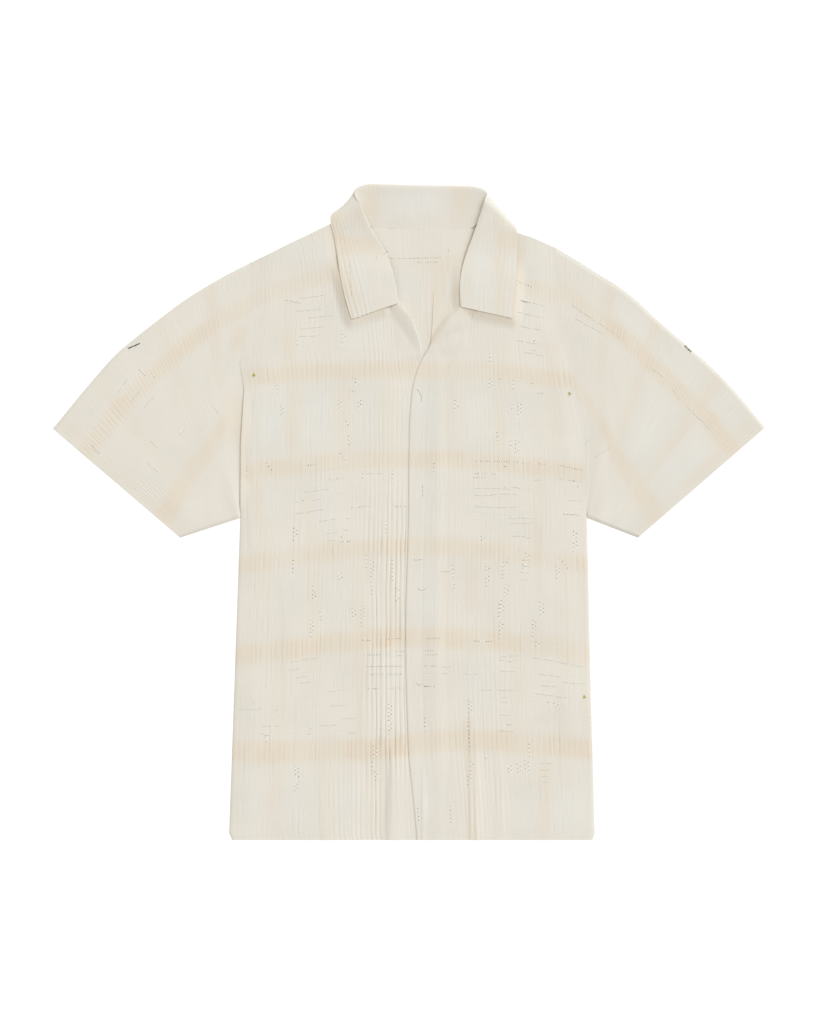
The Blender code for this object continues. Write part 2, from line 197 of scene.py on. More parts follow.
bodyBands = {
    "opened": 0.32,        # how open the pleats are in the middle of a band
    "x": (-195.0, -50.0, 65.0, 205.0),
    "rows": (   # y at each of those x, half width, strength
        (245.0, 287.0, 287.0, 240.0, 10.0, 0.55),
        (158.0, 166.1, 166.1, 153.3, 10.0, 0.85),
        (46.8, 60.8, 60.8, 46.8, 10.5, 0.8),
        (-62.0, -43.3, -42.1, -62.0, 11.0, 0.75),
        (-167.3, -149.8, -147.4, -163.8, 12.0, 0.9),
        (-280.8, -277.3, -266.8, -278.5, 13.0, 1.0),
    ),
    "columns": (   # x and y of the upper end, x and y of the lower end, half width, strength
        (-197.0, 148.0, -195.0, 0.0, 7.0, 0.6),
        (-142.7, 260.0, -134.5, 66.0, 8.0, 0.5),
        (-77.0, 149.0, -73.7, 66.0, 7.0, 0.5),
        (-178.0, 37.0, -167.0, -103.0, 8.0, 0.45),
        (-116.0, 26.0, -106.5, -220.0, 7.0, 0.4),
        (-101.0, -290.0, -90.0, -384.0, 8.0, 0.3),
        (-151.0, -150.0, -160.0, -384.0, 8.0, 0.28),
        (-61.0, -56.0, -55.0, -267.0, 8.0, 0.4),
        (-44.0, -290.0, -46.0, -384.0, 8.0, 0.2),
        (-26.0, 154.0, -20.0, -150.0, 7.0, 0.25),
        # of the next two, the second is painted shade: brown down the left side of the left front's roll
        (37.0, 296.0, 29.0, 196.0, 9.0, 0.95), (56.0, 262.0, 28.0, 199.0, 5.0, 0.8),
        (48.0, 154.0, 48.0, 67.0, 6.0, 0.35),
        (44.5, -56.0, 44.5, -267.0, 8.0, 0.35),
        (72.5, -50.0, 71.0, -115.0, 8.0, 0.35),
        (69.0, -243.0, 74.0, -384.0, 7.0, 0.8),
        (109.0, 201.0, 107.5, 67.0, 7.0, 0.4),
        (103.0, -33.0, 103.0, -150.0, 7.0, 0.35),
        (150.0, 61.0, 153.0, -56.0, 8.0, 0.4),
        (179.0, -56.0, 177.0, -267.0, 8.0, 0.4),
        (159.0, -290.0, 157.0, -384.0, 8.0, 0.4),
        (126.0, -150.0, 124.0, -267.0, 7.0, 0.35),
        (167.0, 201.0, 177.0, 61.0, 8.0, 0.35),
        (204.0, -9.0, 209.0, -267.0, 6.0, 0.3),
    ),
    "cells": (   # paler squares between the bands: x, y, half width, half height, strength
        (-160.0, 110.0, 15.0, 34.0, 1.0), (-108.0, 110.0, 16.0, 34.0, 1.0),
        (-48.0, 114.0, 10.0, 28.0, 0.45), (17.5, 112.0, 15.0, 36.0, 0.9), (80.0, 108.0, 14.0, 34.0, 0.45),
        (130.0, 106.0, 14.0, 30.0, 0.5), (-160.0, 10.0, 12.0, 20.0, 0.4), (-98.0, 8.0, 14.0, 26.0, 0.4),
        (19.0, 10.0, 14.0, 30.0, 0.55), (-137.0, -92.0, 12.0, 24.0, 0.4), (-86.0, -103.0, 12.0, 24.0, 0.4),
        (19.0, -96.0, 15.0, 30.0, 0.8), (-185.0, -336.0, 12.0, 34.0, 0.4),
        (-130.0, -338.0, 14.0, 32.0, 0.45), (-70.0, -343.0, 12.0, 28.0, 0.4),
        (17.0, -330.0, 12.0, 32.0, 0.5), (188.0, -351.0, 16.0, 24.0, 0.7), (140.0, -350.0, 12.0, 24.0, 0.4),
        (-8.0, 265.0, 22.0, 14.0, 0.5), (-120.0, 305.0, 30.0, 12.0, 0.5), (80.0, -205.0, 12.0, 30.0, 0.3),
        (-60.0, 215.0, 20.0, 26.0, 0.3), (150.0, 270.0, 20.0, 14.0, 0.4),
    ),
}


def bandMask(distance, halfWidth):
    # flat in the middle and soft at both edges
    return ease((1.4 * halfWidth - np.abs(distance)) / (0.95 * halfWidth))


def bodyPeachAndShade(x, y):
    # rows where they are strongest, columns added to them and the paler squares taken off. Each band has its
    # own noise, seeded by its place. One of the columns is painted shade beside the left front's roll
    total = np.zeros_like(x)
    for *places, halfWidth, strength in bodyBands["rows"]:
        middle = curveAt(x, bodyBands["x"], places) + 1.5 * cloud(3, x, places[0], 22, 50)
        patchy = 0.8 + 0.3 * cloud(int(places[0]) + 900, x, y, 30, 60)
        total = np.maximum(total, strength * patchy * bandMask(y - middle, halfWidth))
    total *= 1 - 0.7 * bell((x - 2) / 40) * ease((y - 255) / 15)   # the top row is faint inside the neck
    for topX, topY, lowX, lowY, halfWidth, strength in bodyBands["columns"]:
        share = (y - lowY) / (topY - lowY)
        middle = lowX + (topX - lowX) * share
        ends = ease((share + 0.04) / 0.08) * ease((1.04 - share) / 0.08)
        patchy = 0.75 + 0.45 * cloud(int(lowX) + 700, x, y, 25, 60)
        column = strength * patchy * ends * bandMask(x - middle, halfWidth)
        total = total + 0.75 * column * (1 - 0.6 * total)
    return total - paleCells(x, y, bodyBands["cells"]) * (1 - np.clip(2 * total, 0, 1))


def paleCells(x, y, cells):
    # 1 inside a paler square, with wide soft edges
    total = np.zeros_like(x)
    for cellX, cellY, halfX, halfY, strength in cells:
        inside = bandMask(x - cellX, halfX) * bandMask(y - cellY, halfY)
        total = np.maximum(total, strength * inside * (0.85 + 0.3 * cloud(int(cellY) + 400, x, y, 14, 30)))
    return total


def bodyRowPlace(x, y):
    # distance up the cloth, in which every row of the check lies level
    rows = np.array([row[:4] for row in bodyBands["rows"]][::-1])
    middles = np.array([curveAt(x.ravel(), bodyBands["x"], row) for row in rows])
    level = rows.mean(axis=1)
    y = y.ravel()
    place = np.clip((y[None] > middles).sum(axis=0) - 1, 0, len(rows) - 2)
    here = np.arange(len(y))
    low, high = middles[place, here], middles[place + 1, here]
    return (level[place] + (level[place + 1] - level[place]) * (y - low) / (high - low)).reshape(x.shape)


# Where the fine broken threads show on the body: x, y, half width, half height, strength
weftZones = (
    (-104.0, 16.0, 32.0, 42.0, 1.0), (-35.0, 26.0, 32.0, 34.0, 0.6), (113.0, 16.0, 44.0, 45.0, 1.0),
    (192.0, 10.0, 14.0, 30.0, 0.8), (-112.0, -210.0, 38.0, 60.0, 0.8), (-28.0, -177.0, 28.0, 36.0, 1.0),
    (36.0, -178.0, 22.0, 40.0, 0.9), (138.0, -205.0, 76.0, 60.0, 0.8), (-110.0, 228.0, 30.0, 28.0, 0.8),
    (142.0, 215.0, 22.0, 40.0, 0.8), (130.0, -63.0, 14.0, 26.0, 0.6), (158.0, -311.0, 14.0, 24.0, 0.8),
    (-170.0, -245.0, 28.0, 18.0, 0.6), (-70.0, 130.0, 20.0, 14.0, 0.4),
)
warpZones = (
    (122.0, 108.0, 8.0, 50.0, 1.0), (101.0, 130.0, 8.0, 64.0, 0.8), (57.0, 118.0, 6.0, 32.0, 0.6),
    (112.0, -92.0, 8.0, 48.0, 0.9), (-49.0, -76.0, 6.0, 30.0, 0.9), (-26.0, -16.0, 6.0, 14.0, 0.8),
    (-26.0, -234.0, 6.0, 18.0, 0.9), (-132.0, -50.0, 8.0, 44.0, 0.6), (-66.0, 92.0, 6.0, 20.0, 0.7),
    (-155.0, 130.0, 6.0, 28.0, 0.7), (74.0, -274.0, 7.0, 60.0, 1.0), (139.0, -296.0, 7.0, 16.0, 0.6),
    (50.0, -96.0, 5.0, 42.0, 0.6), (-100.0, -110.0, 14.0, 40.0, 0.5), (160.0, 60.0, 10.0, 60.0, 0.5),
    (-118.0, -305.0, 6.0, 26.0, 0.7), (-40.0, -290.0, 8.0, 28.0, 0.8),
)


def zoneMask(x, y, zones, floor):
    # the zone's strength inside each, with soft edges, and floor elsewhere
    total = np.full(x.shape, floor)
    for zoneX, zoneY, halfX, halfY, strength in zones:
        inX = ease((1.25 - np.abs(x - zoneX) / halfX) / 0.4)
        inY = ease((1.2 - np.abs(y - zoneY) / halfY) / 0.3)
        total = np.maximum(total, strength * inX * inY)
    return total


# Outlines of the body

body = {
    "sideRight": (   # y, x
        (-384.0, -207.0), (-376.0, -210.5), (-300.0, -207.8), (-230.0, -205.3), (-150.0, -202.5),
        (-7.0, -197.5), (82.0, -197.0), (144.0, -193.0), (174.0, -198.0), (228.0, -184.5), (292.0, -185.0),
    ),
    "sideLeft": (
        (-384.0, 215.0), (-376.0, 217.5), (-300.0, 215.5), (-230.0, 213.5), (-150.0, 211.5), (-7.0, 208.5),
        (100.0, 205.0), (144.0, 194.5), (174.0, 190.0), (228.0, 173.5), (309.0, 172.0),
    ),
    "frontHeight": 2.7,        # upper side of a front that lies on the back
    "neckDrop": 0.75,          # past its roll a front sinks this far, to lie close on the back
    "neckThin": 0.42,          # and its wall thins by this much
    "featherReach": 24.0,      # at its upper edge in the neck it thins out over this distance
    "featherHeight": 0.3,      # to this height over the back
    "featherWall": 0.12,       # and this wall
    "overSleeve": 0.7,         # how far the right side edge stands up over the sleeve below the chest
    "curl": 1.1,               # below the underarm the cloth turns down this far over the side seam
    "curlReach": 6.0,          # and starts to at this distance
    "neckHill": 2.2,           # the back stands up this far under the ends of both fronts in the neck
    "rise": (262.0, 298.0),    # the layers climb over the collar's fall between these y
    # and come down again to the sides: middle x, and how far out from it that starts and ends
    "riseEnds": (18.0, 112.0, 168.0),
}


def riseOver(x, y):
    # how far the layers are lifted over the collar's fall
    low, high = body["rise"]
    middle, near, far = body["riseEnds"]
    beside = ease((np.abs(x - middle) - near) / (far - near))
    return cloth["layer"] * ease((y - low) / (high - low)) * (1 - beside)


# The collar's two leaves from above: corners, x and y. The fronts swell under them and come down outside them
leaves = {
    "right": (
        (-13.0, 244.0), (-67.0, 225.5), (-75.0, 252.5), (-81.0, 281.5), (-85.0, 307.0), (-88.5, 326.0),
        (-49.0, 341.0), (-40.0, 324.0), (-29.0, 306.5), (-20.5, 285.5), (-15.0, 262.0),
    ),
    "left": (
        (60.5, 240.0), (121.0, 226.5), (123.5, 251.5), (125.5, 275.0), (126.5, 296.0), (127.5, 315.0),
        (84.0, 341.0), (76.5, 328.0), (67.5, 303.0), (61.5, 282.0), (59.5, 261.5),
    ),
    "swell": 4.8,
    "from": 2.0,           # the swelling starts to come down this far inside the outline
    "reach": 15.0,         # and is down after this distance
    "clearOfNeck": (-30.0, 14.0),   # under the right leaf it fades from this x over this width, at the roll
    "paintedLeafShade": 0.95,        # painted shade: a warm brown tint on the cloth beside and under the leaves, where their shade falls and light comes through them
}


def outsideOf(x, y, corners):
    # distance from a closed outline, below 0 inside it
    nearest, inside = np.full(x.shape, 1e9), np.zeros(x.shape, bool)
    corners = np.array(corners)
    for (ax, ay), (bx, by) in zip(corners, np.roll(corners, -1, axis=0)):
        sideX, sideY = bx - ax, by - ay
        share = np.clip(((x - ax) * sideX + (y - ay) * sideY) / (sideX**2 + sideY**2), 0, 1)
        nearest = np.minimum(nearest, np.hypot(x - ax - share * sideX, y - ay - share * sideY))
        inside ^= ((ay > y) != (by > y)) & (x < ax + (y - ay) / sideY * sideX)
    return np.where(inside, -nearest, nearest)


def leafSwell(x, y, leaf):
    # height of the swelling, which fades where the layers climb over the collar's fall, and where it reaches
    covered = 1 - ease((outsideOf(x, y, leaves[leaf]) + leaves["from"]) / leaves["reach"])
    if leaf == "right":
        startX, width = leaves["clearOfNeck"]
        covered *= 1 - ease((x - startX) / width)
    return leaves["swell"] * covered * ease((300 - y) / 35), covered


def paintShadeBesideLeaf(masks, covered, share=1.0):
    # paints the warm brown shade beside a leaf, with the light that comes through it, into the peach mask
    masks[..., 0] += share * leaves["paintedLeafShade"] * covered * (1 - np.clip(masks[..., 0], 0, 1))


def neckHill(x, y):
    # a flat-topped swelling of the back inside the neck
    acrossIt = ease((x + 40) / 30) * ease((92 - x) / 30)
    return body["neckHill"] * acrossIt * ease((y - 165) / 30) * ease((312 - y) / 48)


def panel(sideA, sideB, top, across, rows):
    # x and y of a panel: rows share out the height from hem to top, and columns the width
    share = np.linspace(0, 1, rows)[:, None]
    hemY = cloth["hemY"]
    ends = []
    for side in (sideA, sideB):
        knots, places = np.array(side).T
        ends.append(np.interp(hemY + share * (knots[-1] - hemY), knots, places))
    x = ends[0] * (1 - across) + ends[1] * across
    topX, topY = np.array(top).T
    y = hemY + share * (np.interp(x[-1], topX, topY) - hemY)
    return x, y


def smoothTable(table, count=160):
    # the same table with many rows, read from the smooth curve through it
    table = np.array(table, float)
    at = np.linspace(table[0, 0], table[-1, 0], count)
    return np.column_stack([at, curveAt(at, table[:, 0], table[:, 1:])])


def neckRoll(x, y, table, side):
    # height of a front's soft roll, how open its pleats are there, and how far past the roll a point lies,
    # from 0 to 1. side is 1 where the neck is towards +X, or -1
    heights, places, stands, reaches, outside = np.array(table).T
    away = (x - curveAt(y, heights, places)) * side
    reachIn = curveAt(y, heights, reaches)
    near = 1 - ease(np.abs(away) / np.where(away > 0, reachIn, curveAt(y, heights, outside)))
    started = ease((y - heights[0]) / 42.0)
    past = ease(away / reachIn) * ease((y - heights[0]) / 14.0)
    return curveAt(y, heights, stands) * near, 1 - near * started, past


def bodyMasks(x, y, valleyShade):
    # for the material: peach, with some painted shade in it, broken threads across the pleats and along them,
    # and painted shade in the pleats' valleys
    return np.stack([bodyPeachAndShade(x, y), zoneMask(x, y, weftZones, 0.1), zoneMask(x, y, warpZones, 0.08),
                     valleyShade + np.zeros_like(x)], axis=-1)


def layPiece(name, x, y, upper, lower, masks):
    # shell between two heights over a panel's points; its UV is the place on the cloth
    uv = np.stack([x, bodyRowPlace(x, y)], axis=-1)
    return shell(name, np.stack([x, y, upper], -1), np.stack([x, y, lower], -1), uv, masks)


def finishPiece(piece, node, material):
    # its material; the imported solid it stands for is hidden, and the piece is hung from the root body
    piece.data.materials.append(material)
    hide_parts(node)
    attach(piece, "root")
    print(piece.name, len(piece.data.polygons) * 2, "triangles")


# Materials

finish = {
    "cream": (0.785, 0.742, 0.652, 1.0),
    "pale": (0.785, 0.763, 0.702, 1.0),
    "peach": (0.785, 0.695, 0.568, 1.0),
    # the next three colours are painted: shade beside raised streaks, shade of broken threads, and their
    # highlight
    "streakShade": (0.62, 0.575, 0.49, 1.0),
    "threadShade": (0.42, 0.39, 0.34, 1.0),
    "threadHighlight": (0.93, 0.92, 0.88, 1.0),
    "roughness": 0.85,
    "sheen": 0.25,
    "bump": (0.3, 0.0004),     # strength, and distance in metres
}


def put(tree, kind, inputs=None, **settings):
    # a shader node: its settings, then its inputs, each linked to a socket or set to a value
    made = tree.nodes.new("ShaderNode" + kind)
    for key, value in settings.items():
        setattr(made, key, value)
    for key, value in (inputs or {}).items():
        if isinstance(value, bpy.types.NodeSocket):
            tree.links.new(value, made.inputs[key])
        else:
            made.inputs[key].default_value = value
    return made


def sums(tree, operation, first, second=0.0, third=0.0):
    made = put(tree, "Math", {0: first, 1: second, 2: third}, operation=operation)
    return made.outputs[0]


def blendColour(tree, amount, first, second):
    return put(tree, "Mix", {0: amount, 6: first, 7: second}, data_type="RGBA").outputs[2]


def newGroup(name, inputs, outputs):
    group = bpy.data.node_groups.new(name, "ShaderNodeTree")
    for label, kind, value in inputs:
        socket = group.interface.new_socket(label, in_out="INPUT", socket_type="NodeSocket" + kind)
        socket.default_value = value
    for label, kind in outputs:
        group.interface.new_socket(label, in_out="OUTPUT", socket_type="NodeSocket" + kind)
    return group, group.nodes.new("NodeGroupInput"), group.nodes.new("NodeGroupOutput")


def smoothRange(tree, value, low, high):
    # 0 at low, 1 at high and an S curve between them
    inputs = {"Value": value, "From Min": low, "From Max": high}
    return put(tree, "MapRange", inputs, interpolation_type="SMOOTHSTEP").outputs["Result"]


def stretch(tree, vector, factors):
    return put(tree, "VectorMath", {0: vector, 1: factors}, operation="MULTIPLY").outputs[0]


def noiseOver(tree, vector, scale=1.0, detail=2.0, roughness=0.5):
    inputs = {"Vector": vector, "Scale": scale, "Detail": detail, "Roughness": roughness}
    return put(tree, "TexNoise", inputs, noise_dimensions="2D").outputs["Fac"]


def makeThreadGroup():
    # thin broken lines across a cloth: lines a spacing apart, cut into dashes by noise, dotted at a pitch,
    # each a line of painted shade with a painted highlight beside it.
    # line = S curve of the distance to the nearest line, gate = noise above a threshold set by the mask
    group, given, result = newGroup(
        "brokenThreads",
        [("Along", "Float", 0.0), ("Across", "Float", 0.0), ("Spacing", "Float", 9.0),
         ("Width", "Float", 1.1), ("Dots", "Float", 4.5), ("Length", "Float", 40.0), ("Mask", "Float", 1.0)],
        [("Shade", "Float"), ("Highlight", "Float")])
    labels = ("Along", "Across", "Spacing", "Width", "Dots", "Length", "Mask")
    along, across, spacing, width, dots, length, mask = (given.outputs[label] for label in labels)
    row = sums(group, "DIVIDE", across, spacing)
    number = sums(group, "ROUND", row)
    jitter = put(group, "TexWhiteNoise", {"W": number}, noise_dimensions="1D").outputs["Value"]
    moved = sums(group, "MULTIPLY_ADD", jitter, 0.5, -0.25)
    shifted = sums(group, "ADD", sums(group, "SUBTRACT", row, number), moved)
    distance = sums(group, "MULTIPLY", shifted, spacing)
    line = smoothRange(group, sums(group, "ABSOLUTE", distance), width, 0.0)
    above = sums(group, "SUBTRACT", distance, sums(group, "MULTIPLY", width, 1.3))
    beside = smoothRange(group, sums(group, "ABSOLUTE", above), width, 0.0)
    place = {"X": sums(group, "DIVIDE", along, length), "Y": sums(group, "MULTIPLY", number, 3.7)}
    noise = noiseOver(group, put(group, "CombineXYZ", place).outputs[0], roughness=0.6)
    threshold = sums(group, "MULTIPLY_ADD", mask, -0.26, 0.68)
    gate = smoothRange(group, noise, threshold, sums(group, "ADD", threshold, 0.06))
    wave = sums(group, "SINE", sums(group, "DIVIDE", sums(group, "MULTIPLY", along, 2 * math.pi), dots))
    dotted = sums(group, "MULTIPLY_ADD", wave, 0.4, 0.6)
    between = sums(group, "SUBTRACT", 1.2, dotted)
    shown = sums(group, "MULTIPLY", gate, mask)
    for label, lines, beat in (("Shade", line, dotted), ("Highlight", beside, between)):
        cut = sums(group, "MULTIPLY", sums(group, "MULTIPLY", lines, beat), shown)
        group.links.new(cut, result.inputs[label])
    return group


def makeClothGroup(threads):
    # the cloth's colour and height: cream, peach bands, painted shade in the valleys, broken threads with
    # painted shade and highlight, and a fine weave
    group, given, result = newGroup(
        "pleatedCloth",
        [("Threads", "Float", 1.0), ("Weave", "Float", 1.0)],
        [("Color", "Color"), ("Height", "Float"), ("Roughness", "Float")])
    uv = put(group, "UVMap", uv_map="cloth").outputs[0]
    flat = put(group, "VectorMath", {0: uv, 3: 1 / mm}, operation="SCALE").outputs[0]
    split = put(group, "SeparateXYZ", {0: flat})
    across, along = split.outputs[0], split.outputs[1]
    masks = put(group, "Attribute", attribute_name="clothMasks")
    channels = put(group, "SeparateColor", {0: masks.outputs["Color"]})
    peach, weft, warp = channels.outputs[0], channels.outputs[1], channels.outputs[2]
    # the alpha channel carries the painted shade of the pleats' valleys
    valleyShade = masks.outputs["Alpha"]
    weftLines = put(group, "Group", {"Along": across, "Across": along, "Mask": weft, "Spacing": 9.4,
                                     "Width": 0.95, "Dots": 4.1, "Length": 26.0}, node_tree=threads)
    warpLines = put(group, "Group", {"Along": along, "Across": across, "Mask": warp, "Spacing": 6.2,
                                     "Width": 0.95, "Dots": 4.6, "Length": 60.0}, node_tree=threads)
    # painted shade and painted highlight of the broken threads
    lines = []
    for label in ("Shade", "Highlight"):
        both = sums(group, "MAXIMUM", weftLines.outputs[label], warpLines.outputs[label])
        lines.append(sums(group, "MULTIPLY", both, given.outputs["Threads"]))
    dark, pale = lines
    # short raised threads up the cloth: noise long along the pleats, only where it is high, painted as a line
    # of shade with a painted highlight beside it
    streaks = []
    for offset in (0.0, 1.3):
        moved = put(group, "VectorMath", {0: flat, 1: (offset, 0.0, 0.0)}, operation="ADD").outputs[0]
        noise = noiseOver(group, stretch(group, moved, (0.34, 0.028, 1.0)))
        streaks.append(smoothRange(group, noise, 0.62, 0.72))
    shadedStreak, litStreak = streaks
    # warp yarns run up the cloth, so its fine colour change is long along the pleats and short across them
    yarn = noiseOver(group, stretch(group, flat, (0.75, 0.05, 1.0)), detail=3.0)
    weftYarn = noiseOver(group, stretch(group, flat, (0.06, 0.6, 1.0)), detail=3.0)
    yarns = sums(group, "MULTIPLY_ADD", yarn, 0.5, -0.25)
    mixed = sums(group, "ADD", yarns, sums(group, "MULTIPLY_ADD", weftYarn, 0.3, -0.15))
    tinted = sums(group, "MULTIPLY", peach, sums(group, "ADD", 1.0, sums(group, "MULTIPLY", mixed, 2.6)))
    tinted = put(group, "Clamp", {"Value": tinted}).outputs[0]
    # below 0 the peach mask stands for paler cloth
    whitened = put(group, "Clamp", {"Value": sums(group, "MULTIPLY", peach, -1.0)}).outputs[0]
    colour = blendColour(group, whitened, finish["cream"], finish["pale"])
    colour = blendColour(group, tinted, colour, finish["peach"])
    # the tone changes a little with the yarns and broadly over the cloth
    broad = sums(group, "MULTIPLY_ADD", noiseOver(group, flat, scale=0.018), 0.08, -0.04)
    tone = sums(group, "ADD", 1.0, sums(group, "MULTIPLY_ADD", mixed, 0.10, broad))
    toned = put(group, "VectorMath", {0: colour, 3: tone}, operation="SCALE").outputs[0]
    # painted shade: valleys are darker, and in the peach bands deeper in colour
    valleyShadeShare = sums(group, "MULTIPLY", valleyShade, sums(group, "MULTIPLY_ADD", tinted, 0.8, 0.06))
    toned = blendColour(group, valleyShadeShare, toned, stretch(group, toned, (0.86, 0.76, 0.62)))
    # painted shade and painted highlight of the raised streaks and broken threads, blended over the colour
    for shown, amount, key in ((shadedStreak, 0.16, "streakShade"), (litStreak, 0.14, "threadHighlight"),
                               (dark, 0.13, "threadShade"), (pale, 0.15, "threadHighlight")):
        toned = blendColour(group, sums(group, "MULTIPLY", shown, amount), toned, finish[key])
    weave = sums(group, "SUBTRACT", noiseOver(group, flat, scale=1.3), 0.5)
    height = sums(group, "ADD", sums(group, "MULTIPLY", mixed, 0.5), sums(group, "MULTIPLY", weave, 0.5))
    height = sums(group, "MULTIPLY", height, given.outputs["Weave"])
    for raised, sunken, amount in ((litStreak, shadedStreak, 0.13), (pale, dark, 0.1)):
        height = sums(group, "MULTIPLY_ADD", sums(group, "SUBTRACT", raised, sunken), amount, height)
    group.links.new(toned, result.inputs["Color"])
    group.links.new(height, result.inputs["Height"])
    group.links.new(sums(group, "MULTIPLY_ADD", mixed, 0.1, finish["roughness"]), result.inputs["Roughness"])
    return group


def clothMaterial(name, group, threads, weave):
    material = bpy.data.materials.new(name)
    material.use_nodes = True
    tree = material.node_tree
    shader = tree.nodes["Principled BSDF"]
    made = put(tree, "Group", {"Threads": threads, "Weave": weave}, node_tree=group)
    strength, distance = finish["bump"]
    bump = put(tree, "Bump", {"Height": made.outputs["Height"], "Strength": strength, "Distance": distance})
    tree.links.new(made.outputs["Color"], shader.inputs["Base Color"])
    tree.links.new(made.outputs["Roughness"], shader.inputs["Roughness"])
    tree.links.new(bump.outputs["Normal"], shader.inputs["Normal"])
    shader.inputs["Specular IOR Level"].default_value = 0.25
    shader.inputs["Sheen Weight"].default_value = finish["sheen"]
    shader.inputs["Sheen Roughness"].default_value = 0.5
    return material


clothGroup = makeClothGroup(makeThreadGroup())
pleatedCloth = clothMaterial("pleatedCloth", clothGroup, 1.0, 1.0)
smoothCloth = clothMaterial("smoothCloth", clothGroup, 0.6, 0.5)
print("materials made")


# Back

back = {
    "top": (
        (-185.0, 292.0), (-144.0, 312.0), (-91.0, 337.5), (-76.0, 341.5), (-60.0, 338.0), (-47.0, 334.0),
        (-22.0, 332.0), (13.0, 330.5), (54.0, 330.5), (75.0, 332.0), (88.0, 341.0), (98.0, 337.0),
        (125.0, 327.0), (144.0, 321.0), (172.0, 309.0),
    ),
    "rows": 84,
    "seed": 11,
    "depth": 0.36,         # of the pleats, on each face
    "openInNeck": 0.55,    # how open its pleats stand in the middle of the neck
    "quiet": 0.1,          # and how much they show elsewhere
    "swellShare": 0.8,     # of the fronts' swelling under the left leaf
    "paintedLeafShadeShare": 0.5,      # and of their painted warm shade
    "flat": (0.43, 0.725),
    "area": 0.285,
}


def makeBack():
    # one pleated sheet, nearly smooth below the collar and open in the middle of the neck
    width = body["sideLeft"][1][1] - body["sideRight"][1][1]
    across, phase = pleatColumns(back["seed"], width)
    x, y = panel(body["sideRight"], body["sideLeft"], back["top"], across, back["rows"])
    crest = pleatCrest(phase)[None, :]
    inNeck = bell((x - 19) / 15) * ease((303 - y) / 20) * ease((y - 150) / 20)
    strength = pleatStrength(back["seed"] + 1, phase[None, :], y, back["openInNeck"] * inNeck, back["quiet"])
    depth = back["depth"] * strength
    swell, covered = leafSwell(x, y, "left")
    ground = riseOver(x, y) + neckHill(x, y) + back["swellShare"] * swell
    lower = ground + (1 - crest) * depth
    upper = ground + cloth["wall"] + crest * depth
    # painted shade in the pleats' valleys, through the last mask
    masks = bodyMasks(x, y, (1 - crest) * strength)
    # painted shade: warm brown beside the left leaf
    paintShadeBesideLeaf(masks, covered, back["paintedLeafShadeShare"])
    piece = layPiece("backPanel", x, y, upper, lower, masks)
    finishPiece(piece, "back", pleatedCloth)
    return piece


backPanel = makeBack()


# Fronts

rightFront = {
    "top": (
        (-185.0, 292.0), (-144.0, 312.0), (-91.0, 337.5), (-70.0, 343.0), (-62.0, 343.0), (-56.0, 318.0),
        (-47.0, 294.0), (-38.0, 276.0), (-28.0, 260.0), (-17.0, 250.0),
    ),
    "edge": (   # y, x
        (-384.0, 30.0), (-345.0, 29.0), (-287.0, 28.0), (-150.0, 27.0), (63.0, 28.0), (124.0, 26.0),
        (150.0, 22.0), (172.0, 17.5), (186.0, 15.5), (199.0, 13.0), (210.0, 9.6), (221.0, 5.0),
        (232.0, -2.2), (241.0, -9.5), (250.0, -17.0),
    ),
    "roll": (   # y, x, stand, reach to the neck, reach to the side
        (186.0, 15.1, 0.0, 0.4, 8.0), (199.0, 12.6, 1.4, 0.4, 15.0), (210.0, 9.2, 2.8, 0.4, 20.0),
        (221.0, 4.6, 3.6, 0.4, 23.0), (232.0, -2.6, 4.0, 0.4, 25.0), (241.0, -9.9, 4.2, 0.4, 26.0),
        (250.0, -17.4, 3.8, 0.4, 27.0), (267.0, -34.0, 2.2, 8.0, 28.0), (318.0, -56.0, 0.0, 20.0, 42.0),
        (343.0, -62.0, 0.0, 20.0, 42.0),
    ),
    "rows": 175,
    "seed": 21,
    "puff": 0.9,           # the pleated cloth stands this much higher than at its sides
    "depth": 0.8,          # of the pleats
    "quiet": 0.2,          # how much they show where they don't stand open
    "flat": (0.24, 0.727),
    "area": 0.152,
}
leftFront = {
    "top": (
        (29.0, 258.0), (61.0, 240.0), (70.0, 265.0), (80.0, 292.0), (88.0, 318.0), (92.0, 338.5),
        (98.0, 337.0), (125.0, 327.0), (144.0, 321.0), (172.0, 309.0),
    ),
    "edge": (
        (-384.0, 9.5), (-345.0, 6.0), (-287.0, 0.0), (-239.0, -2.0), (-150.0, -4.0), (-7.0, -0.5),
        (63.0, 0.0), (124.0, 2.0), (151.0, 5.5), (167.0, 10.0), (181.0, 16.5), (195.0, 24.5), (210.0, 26.5),
        (236.0, 28.0), (258.0, 29.0),
    ),
    "roll": (
        (185.0, 20.0, 0.0, 3.0, 16.0), (199.0, 27.0, 2.0, 6.0, 24.0), (221.0, 45.0, 4.4, 11.0, 34.0),
        (240.0, 60.0, 4.4, 13.0, 36.0), (265.0, 69.0, 2.2, 20.0, 38.0), (318.0, 88.0, 0.0, 20.0, 42.0),
        (340.0, 92.0, 0.0, 20.0, 42.0),
    ),
    "bandWidth": 19.0,
    "bandGap": 0.05,       # between the band and the rest of the front
    "bandGrid": (40, 200),
    "groove": 0.14,        # depth of the line where the band ends
    "bandBendsY": 195.0,
    "lapped": (31.0, 46.0, 188.0, 200.0),   # it comes down to the back between these x and these y
    "lap": 1.0,            # how far it stands over the other front
    "rows": 175,
    "seed": 23,
    "puff": 0.9,
    "depth": 0.7,
    "quiet": 0.14,
    "flat": (0.205, 0.722),
    "area": 0.13,
    "bandFlat": (0.052, 0.642),
    "bandArea": 0.0125,
}

